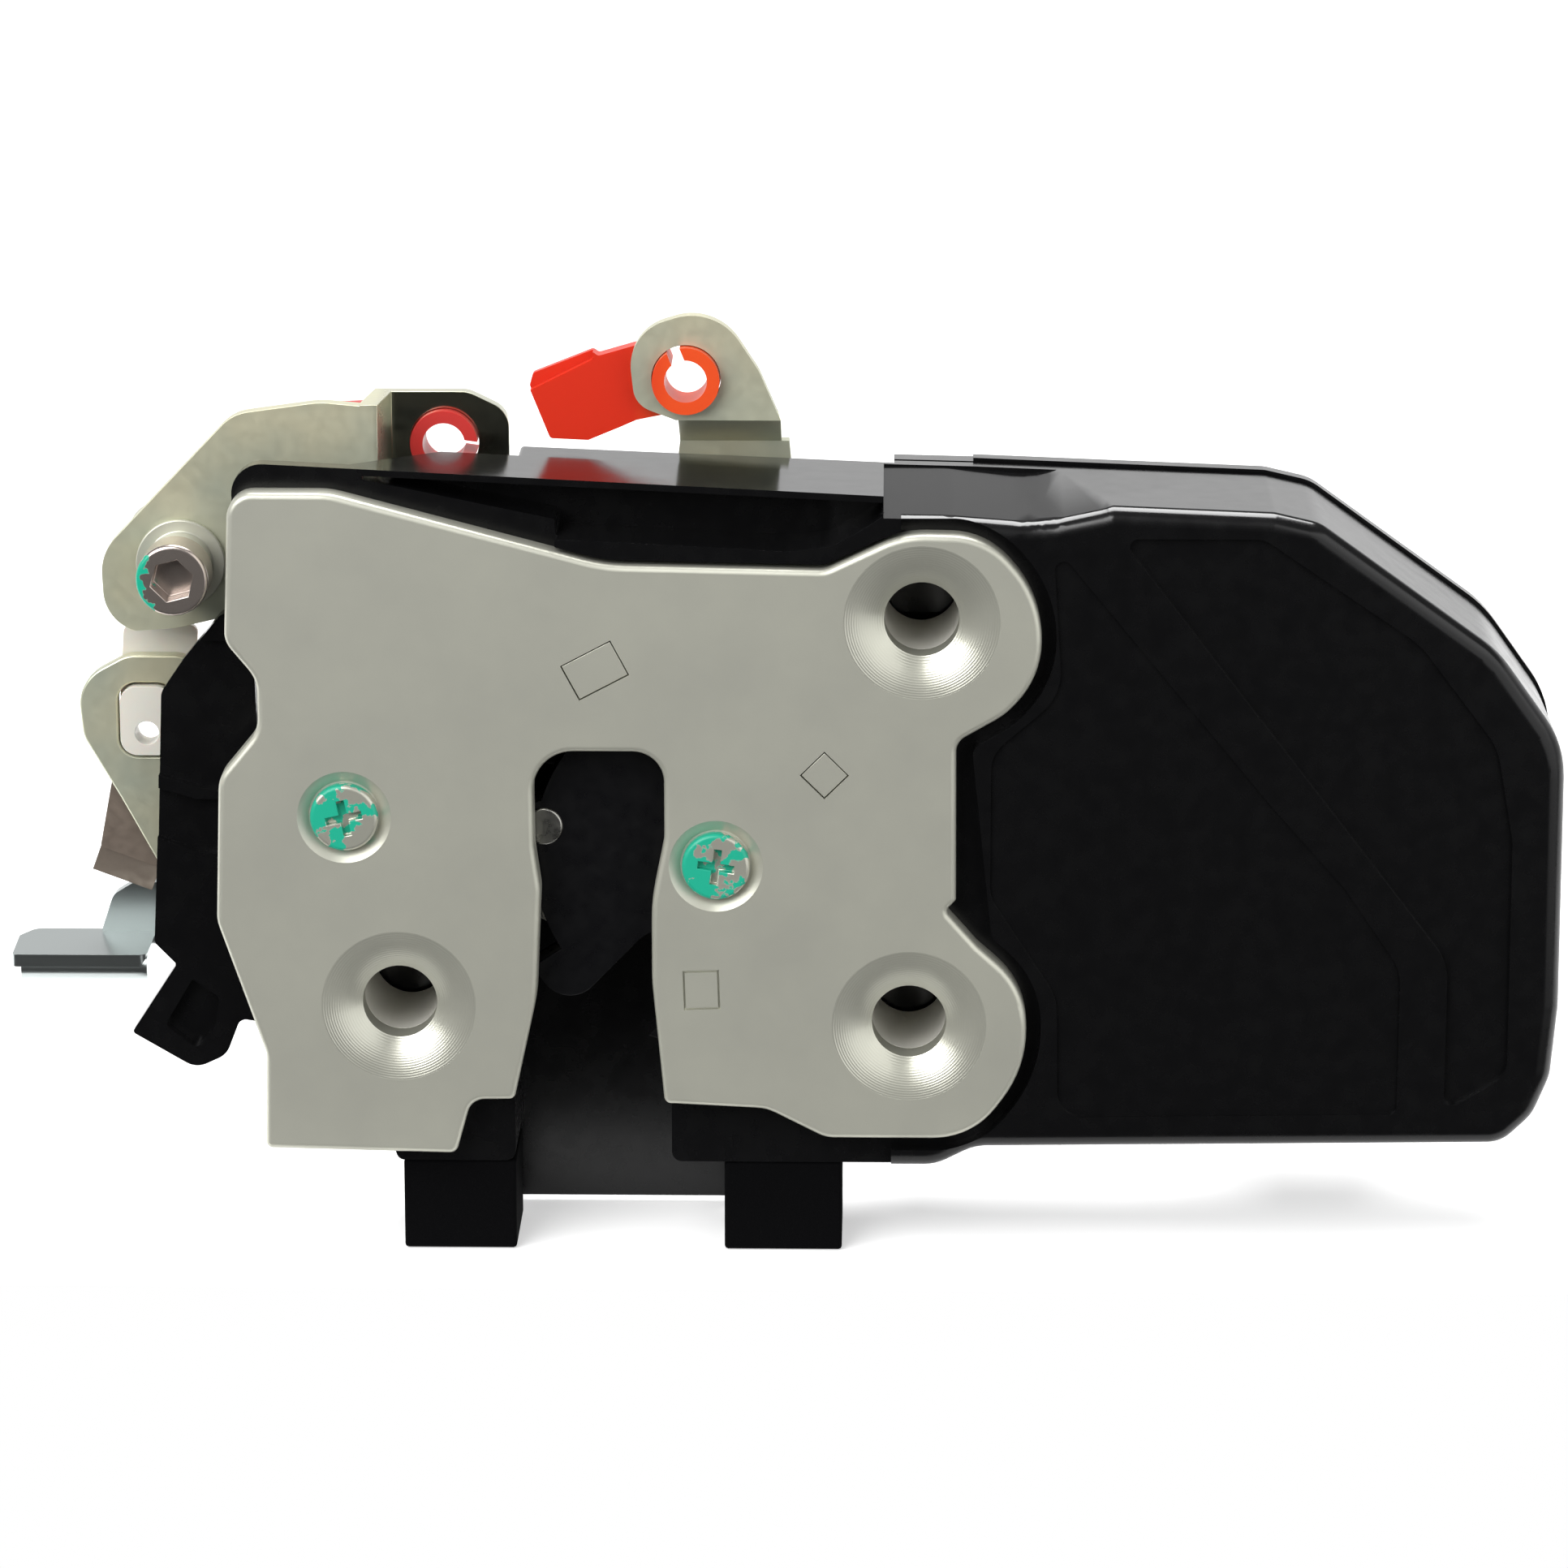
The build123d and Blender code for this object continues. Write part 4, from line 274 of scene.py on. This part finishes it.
def black_nylon():
    """Moulded glass-filled nylon: near-black satin, eroded in front and smoother on top, with a
    painted sheen: top faces reflect fully and front faces less, by the way they face.
    """
    material, tree, shader = finish_of("black_moulded_glass_filled_nylon", NYLON_BLACK, 0.0, 0.26)
    normal = add_node(tree, "ShaderNodeNewGeometry").outputs["Normal"]
    upward = part_of(tree, normal, "Z")
    eroded = ranged(tree, grain(tree, 2.5 * MM), 0.23, 0.3)
    smoother = ranged(tree, upward, 1.0, 0.6, *SLOPING_UP)
    tree.links.new(shader.inputs["Roughness"], math_of(tree, "MULTIPLY", eroded, smoother))
    # Painted sheen: the strength of reflection is set by facing, full on top faces and about a
    # third on front faces, so tops read lighter than fronts.
    tree.links.new(shader.inputs["Specular IOR Level"],
                   ranged(tree, upward, 0.36, 1.0, *SLOPING_UP))
    raised(tree, shader, grain(tree, EROSION_GRAIN, 2.0), EROSION_DEPTH, 0.4)
    return material


nylon = black_nylon()
for part_name, ease in (("main_housing", 0.35 * MM), ("latch_cover", 0.3 * MM),
                        ("case_lid", 0.2 * MM)):
    dressed(part_name, nylon, ease)

# Pivot posts, pins, pawl, the fork's core and the shafts: turned or blanked steel, bright and
# lightly oiled.
STEEL_GREY = "#B3B2AC"


def turned_steel():
    """Plain turned steel: satin with fine marks."""
    material, tree, shader = finish_of("turned_steel", STEEL_GREY, 1.0, 0.3)
    tree.links.new(shader.inputs["Roughness"], ranged(tree, grain(tree, 0.8 * MM), 0.24, 0.38))
    return material


steel = turned_steel()
for part_name in ("fork_post", "pawl_post", "fork_pin", "pawl", "pawl_lift_pin", "fork_core",
                  "side_pin", "tail_pin", "lock_pin", "wheel_axle", "rotor_shaft"):
    dressed(part_name, steel, 0.12 * MM)

# Plate screws: cold-headed steel with a cross recess, zinc plated, each head smeared with green
# thread-locking paint that has partly missed it.
PAINT_GREEN = "#14A183"
PAINT_BLOT = 1.7 * MM
SCREW_AXES = [(-5.9 * MM, 22.5 * MM), (36.6 * MM, 16.9 * MM)]
SMEAR_FALLS = [(0.04, -0.022), (0.03, -0.012)]
BETWEEN_SCREWS = (SCREW_AXES[0][0] + SCREW_AXES[1][0]) / 2


def away_from(tree, axis, slope):
    """Value that falls by slope, along X and Z, for each millimetre from an axis along Y."""
    centred = add_node(tree, "ShaderNodeVectorMath", [("Vector", part_place(tree))],
                       operation="SUBTRACT")
    centred.inputs[1].default_value = (axis[0], 0.0, axis[1])
    fall = add_node(tree, "ShaderNodeVectorMath", [("Vector", centred.outputs["Vector"])],
                    operation="DOT_PRODUCT")
    fall.inputs[1].default_value = (-slope[0] / MM, 0.0, -slope[1] / MM)
    return fall.outputs["Value"]


def painted(tree, shader, cover):
    """Turns a metal shader to green paint as cover goes from 0 to 1."""
    metal = shader.inputs["Base Color"]
    mix = add_node(tree, "ShaderNodeMix", data_type="RGBA")
    tree.links.new(mix.inputs[0], cover)
    if metal.is_linked:
        tree.links.new(mix.inputs[6], metal.links[0].from_socket)
    else:
        mix.inputs[6].default_value = metal.default_value
    mix.inputs[7].default_value = linear(PAINT_GREEN)
    tree.links.new(metal, mix.outputs[2])
    bare = ranged(tree, cover, shader.inputs["Metallic"].default_value, 0.0, 0.0, 1.0)
    tree.links.new(shader.inputs["Metallic"], bare)


def screw_finish():
    """Zinc plate with a blot of locking paint over the left and top of each head."""
    material, tree, shader = finish_of("zinc_plate_with_locking_paint", ZINC_LIGHT, 0.72, 0.36)
    left, right = [away_from(tree, axis, slope) for axis, slope in zip(SCREW_AXES, SMEAR_FALLS)]
    side = math_of(tree, "GREATER_THAN", part_of(tree, part_place(tree), "X"), BETWEEN_SCREWS)
    smear = math_of(tree, "ADD", grain(tree, PAINT_BLOT), mixed(tree, side, left, right))
    painted(tree, shader, ranged(tree, smear, 0.0, 1.0, 0.47, 0.5))
    return material


dressed("plate_screws", screw_finish(), 0.08 * MM)

# Fork cover, the motor's end cap and the plug socket: black elastomer and plastic, smooth and
# fairly glossy. The fork's cover is moulded over its steel.
def moulded_elastomer():
    """Hard thermoplastic elastomer: smooth black with a soft sheen."""
    material, tree, shader = finish_of("black_hard_elastomer", "#0A0A0C", 0.0, 0.3,
                                       Specular_IOR_Level=0.36)
    tree.links.new(shader.inputs["Roughness"], ranged(tree, grain(tree, 1.5 * MM), 0.26, 0.36))
    return material


elastomer = moulded_elastomer()
for part_name in ("fork_cover", "motor_end_cap", "connector_socket"):
    dressed(part_name, elastomer, 0.25 * MM)

# Springs of the fork, the pawl and the release lever: hard-drawn steel wire, oiled, a smooth
# dark grey. Their edges stay smooth up to a wide angle, since the wire is round.
WIRE_ANGLE = 60.0
wire = finish_of("hard_drawn_spring_wire", "#74746F", 1.0, 0.34)[0]
for part_name in ("fork_spring", "pawl_spring", "release_spring"):
    dressed(part_name, wire, 0.0, WIRE_ANGLE)

# Rubber stop in the striker's channel and the lid's seal: soft moulded rubber, matt black with a
# faint bloom.
rubber = finish_of("black_moulded_rubber", "#141415", 0.0, 0.7, Specular_IOR_Level=0.3)[0]
for part_name in ("striker_bumper", "lid_seal"):
    dressed(part_name, rubber, 0.2 * MM)

# Foam blocks: closed-cell foam cut from strip and bonded under the housing, very matt black with
# small open cells.
CELL_SIZE = 0.4 * MM
CELL_DEPTH = 0.12 * MM


def cut_foam():
    """Cut closed-cell foam: very matt black with small open cells."""
    material, tree, shader = finish_of("black_closed_cell_foam", "#040405", 0.0, 0.9,
                                       Specular_IOR_Level=0.06)
    raised(tree, shader, grain(tree, CELL_SIZE), CELL_DEPTH, 0.8)
    return material


dressed("seal_pads", cut_foam(), 0.4 * MM)

# Levers: pressed steel, zinc plated and passivated yellow-green, the inside arm clear instead.
# The rod has polished the cranked eye of the release lever, which reflects the dark room.
PASSIVATION_TINTS = ("#D9D5B8", "#C4C9B5")
PASSIVATED_METAL = 0.62
TINT_SIZE = 9.0 * MM
PASSIVATED_RELIEF = 0.0015 * MM
TAB_START = -3.0 * MM
TAB_FADE = 2.0 * MM


def passivated_zinc():
    """Chromate-passivated zinc: satin, drifting between yellow-green and bluish grey."""
    material, tree, shader = finish_of("passivated_zinc_on_pressed_steel", PASSIVATION_TINTS[0],
                                       PASSIVATED_METAL, 0.36)
    drift = grain(tree, TINT_SIZE, 2.0)
    tree.links.new(shader.inputs["Base Color"],
                   blended(tree, ranged(tree, drift, 0.0, 1.0), *PASSIVATION_TINTS))
    tree.links.new(shader.inputs["Roughness"], ranged(tree, grain(tree, 1.2 * MM), 0.33, 0.42))
    raised(tree, shader, grain(tree, ZINC_CRYSTAL, 2.0), PASSIVATED_RELIEF, 0.3)
    return material


def lever_with_polished_eye():
    """Passivated zinc whose cranked eye, beyond TAB_START, the rod has polished."""
    material = passivated.copy()
    material.name = "passivated_zinc_with_polished_eye"
    tree = material.node_tree
    shader = tree.nodes["Principled BSDF"]
    along = part_of(tree, part_place(tree), "X")
    eye = ranged(tree, along, 0.0, 1.0, TAB_START, TAB_START + TAB_FADE)
    tree.links.new(shader.inputs["Metallic"], ranged(tree, eye, PASSIVATED_METAL, 1.0, 0.0, 1.0))
    satin = shader.inputs["Roughness"].links[0].from_socket
    polish = ranged(tree, eye, 1.0, 0.35, 0.0, 1.0)
    tree.links.new(shader.inputs["Roughness"], math_of(tree, "MULTIPLY", satin, polish))
    return material


passivated = passivated_zinc()
for part_name in ("side_lever", "top_lever"):
    dressed(part_name, passivated, 0.22 * MM)
dressed("release_lever", lever_with_polished_eye(), 0.22 * MM)
clear_zinc = finish_of("clear_passivated_bright_zinc", "#BEC5C4", 1.0, 0.28)[0]
dressed("inside_arm", clear_zinc, 0.22 * MM)

# Bush and nut of the lever pivot, the side pin's rings, the lid's screws and the motor's can:
# turned or drawn steel, zinc plated like the front plate.
for part_name in ("pivot_bush", "pivot_nut", "side_spacers", "lid_screws", "motor_can"):
    dressed(part_name, zinc, 0.15 * MM)

# Side bracket: pressed steel with a phosphate coat, matt brown-grey where the levers beside it
# are plated.
def phosphated_steel():
    """Phosphate coat on pressed steel: matt brown-grey."""
    material, tree, shader = finish_of("phosphated_pressed_steel", "#8A7D72", 0.7, 0.5)
    tree.links.new(shader.inputs["Roughness"], ranged(tree, grain(tree, 1.0 * MM), 0.42, 0.6))
    return material


dressed("side_bracket", phosphated_steel(), 0.15 * MM)

# Cap screw: stainless steel socket head, bright and slightly warm, with a dab of the same green
# paint on the left of its rim.
CAP_AXIS = (-25.3 * MM, 49.4 * MM)
CAP_FALL = (0.2, 0.04)


def stainless_steel():
    """Turned stainless steel, bright with a warm tone, painted on its left rim."""
    material, tree, shader = finish_of("turned_stainless_steel", "#CDC1B9", 0.92, 0.26)
    dab = math_of(tree, "ADD", grain(tree, PAINT_BLOT, 2.0), away_from(tree, CAP_AXIS, CAP_FALL))
    painted(tree, shader, ranged(tree, dab, 0.0, 1.0, 1.08, 1.11))
    return material


dressed("pivot_bolt", stainless_steel(), 0.12 * MM)

# Rod clips: moulded acetal in three colours, each snapped in its lever's hole. The orange one has
# painted light on its ring: a paler orange stands in for light shining through the ring's narrow
# wall, against the deeper orange of its thick arm.
# Deep orange of the arm, then the paler orange painted on the ring as light shining through it.
ORANGE_AND_PAINTED_GLOW = ("#CA2504", "#DA4812")
RING_START = (26.5 * MM, 31.0 * MM)


def acetal(name, colour, depth):
    """Moulded acetal: satin, with a little light passing under the surface."""
    return finish_of(name, colour, 0.0, 0.36, Subsurface_Weight=0.15, Subsurface_Scale=depth)[0]


def orange_acetal():
    """Orange acetal, deep in the thick arm, with painted light on the ring: a paler orange for
    light shining through its narrow wall.
    """
    material = acetal("orange_moulded_acetal", ORANGE_AND_PAINTED_GLOW[0], 0.8 * MM)
    tree = material.node_tree
    # Painted light: from X 26.5 to 31 mm the colour turns to the paler orange, standing in for
    # light shining through the ring.
    painted_ring_glow = ranged(tree, part_of(tree, part_place(tree), "X"), 0.0, 1.0, *RING_START)
    tree.links.new(tree.nodes["Principled BSDF"].inputs["Base Color"],
                   blended(tree, painted_ring_glow, *ORANGE_AND_PAINTED_GLOW))
    return material


red = acetal("red_moulded_acetal", "#BE302C", 1.0 * MM)
white = acetal("white_moulded_acetal", "#D2CFC5", 1.0 * MM)
dressed("orange_rod_clip", orange_acetal(), 0.25 * MM, split=True)
dressed("red_rod_clip", red, 0.25 * MM, split=True)
dressed("white_rod_clip", white, 0.25 * MM)

# Drive inside the case: natural acetal gears and link, iron rotor and magnets, bronze bush. The
# plug's four pins are tinned brass.
natural = acetal("natural_moulded_acetal", "#E6DFC8", 0.8 * MM)
for part_name in ("lock_link", "worm_wheel", "worm"):
    dressed(part_name, natural, 0.0)
iron = finish_of("laminated_iron", "#4A4A4C", 1.0, 0.5)[0]
for part_name in ("rotor_core", "motor_magnets"):
    dressed(part_name, iron, 0.1 * MM)
bronze = finish_of("sintered_bronze", "#A9804C", 1.0, 0.4)[0]
dressed("shaft_bearing", bronze, 0.1 * MM)
tinned = finish_of("tinned_brass", "#C9C7C0", 1.0, 0.25)[0]
dressed("connector_pins", tinned, 0.08 * MM)

# Room: pale paper floor under the latch and an evenly lit studio. The studio is white to the
# camera; in reflections it is white behind the latch and dark on the camera's side and overhead.
WHITE = (1.0, 1.0, 1.0, 1.0)
FLOOR_WIDTH = 4.0
FLOOR_FRONT = -0.012
FLOOR_BACK = 4.0
FLOOR_DROP = 0.1 * MM
FLOOR_COLOUR = "#E9E9E9"
FLOOR_GLOW = 0.45
AMBIENT_GREY = (0.8, 0.8, 0.8, 1.0)
AMBIENT = 0.55
BEHIND_AND_ABOVE = (0.0, 0.62, 0.78)
DARK_SIDE = 0.025
DARK_TO_WHITE = (-0.25, 0.3)
OVERHEAD = 0.12
WHITE_TO_OVERHEAD = (0.29, 0.45)
floor_z = cad_box[0][2] - FLOOR_DROP
half = FLOOR_WIDTH / 2
floor_mesh = bpy.data.meshes.new("floor")
floor_mesh.from_pydata([(-half, FLOOR_FRONT, floor_z), (half, FLOOR_FRONT, floor_z),
                        (half, FLOOR_BACK, floor_z), (-half, FLOOR_BACK, floor_z)],
                       [], [(0, 1, 2, 3)])
floor = bpy.data.objects.new("floor", floor_mesh)
bpy.context.scene.collection.objects.link(floor)
floor_material, floor_tree, floor_shader = finish_of("pale_paper_floor", FLOOR_COLOUR, 0.0, 0.9)
floor_shader.inputs["Emission Color"].default_value = WHITE
ways = add_node(floor_tree, "ShaderNodeLightPath").outputs
seen = math_of(floor_tree, "ADD", ways["Is Camera Ray"], ways["Is Glossy Ray"])
seen = math_of(floor_tree, "ADD", seen, ways["Is Transmission Ray"])
glow = math_of(floor_tree, "MULTIPLY", seen, FLOOR_GLOW, use_clamp=True)
floor_tree.links.new(floor_shader.inputs["Emission Strength"], glow)
floor_mesh.materials.append(floor_material)

world = bpy.data.worlds.new("studio")
bpy.context.scene.world = world
world.use_nodes = True
sky = world.node_tree
ambient = sky.nodes["Background"]
ambient.inputs["Color"].default_value = AMBIENT_GREY
ambient.inputs["Strength"].default_value = AMBIENT
ways = add_node(sky, "ShaderNodeLightPath").outputs
heading = add_node(sky, "ShaderNodeTexCoord").outputs["Generated"]
facing = add_node(sky, "ShaderNodeVectorMath", [("Vector", heading)], operation="DOT_PRODUCT")
facing.inputs[1].default_value = BEHIND_AND_ABOVE
behind = ranged(sky, facing.outputs["Value"], DARK_SIDE, 1.0, *DARK_TO_WHITE)
above = ranged(sky, part_of(sky, heading, "Z"), 1.0, OVERHEAD, *WHITE_TO_OVERHEAD)
plain = math_of(sky, "ADD", ways["Is Camera Ray"], ways["Is Transmission Ray"])
strength = math_of(sky, "MAXIMUM", plain, math_of(sky, "MULTIPLY", behind, above))
backdrop = add_node(sky, "ShaderNodeBackground", [("Strength", strength)], Color=WHITE)
seen = math_of(sky, "ADD", plain, ways["Is Glossy Ray"], use_clamp=True)
switch = add_node(sky, "ShaderNodeMixShader", [(0, seen), (1, ambient.outputs[0]),
                                               (2, backdrop.outputs[0])])
sky.links.new(sky.nodes["World Output"].inputs["Surface"], switch.outputs[0])

# Lamps: square soft lights at plain level, a key from the left, a fill from the right and one
# above; each row is name, place, size in metres and power in watts.
LAMPS = (("key_light", (-0.55, -0.75, 0.7), 1.0, 17.0),
         ("fill_light", (0.85, -0.7, 0.3), 1.3, 6.5),
         ("top_light", (0.1, 0.35, 0.9), 0.6, 8.0))


def aim(thing, place, target):
    """Puts a lamp or camera at a place, turned to a target, in the scene."""
    thing.location = place
    thing.rotation_euler = (target - place).to_track_quat("-Z", "Y").to_euler()
    bpy.context.scene.collection.objects.link(thing)


middle = (cad_box[0] + cad_box[1]) / 2
for lamp_name, lamp_place, size, power in LAMPS:
    lamp = bpy.data.lights.new(lamp_name, "AREA")
    lamp.size = size
    lamp.energy = power
    aim(bpy.data.objects.new(lamp_name, lamp), Vector(lamp_place), middle)

# Camera: at the photograph's angle, a little above the latch, with a long lens. The colours are
# shown without a film look.
CAMERA_PLACE = Vector((56.2, -678.0, 207.9)) * MM
CAMERA_TARGET = Vector((44.4, -2.0, 26.7)) * MM
LENS = 141.0
SENSOR = 36.0
NEAREST = 0.01
camera = bpy.data.objects.new("camera", bpy.data.cameras.new("camera"))
camera.data.lens = LENS
camera.data.sensor_width = SENSOR
camera.data.clip_start = NEAREST
aim(camera, CAMERA_PLACE, CAMERA_TARGET)
bpy.context.scene.camera = camera
bpy.context.scene.view_settings.view_transform = "Standard"
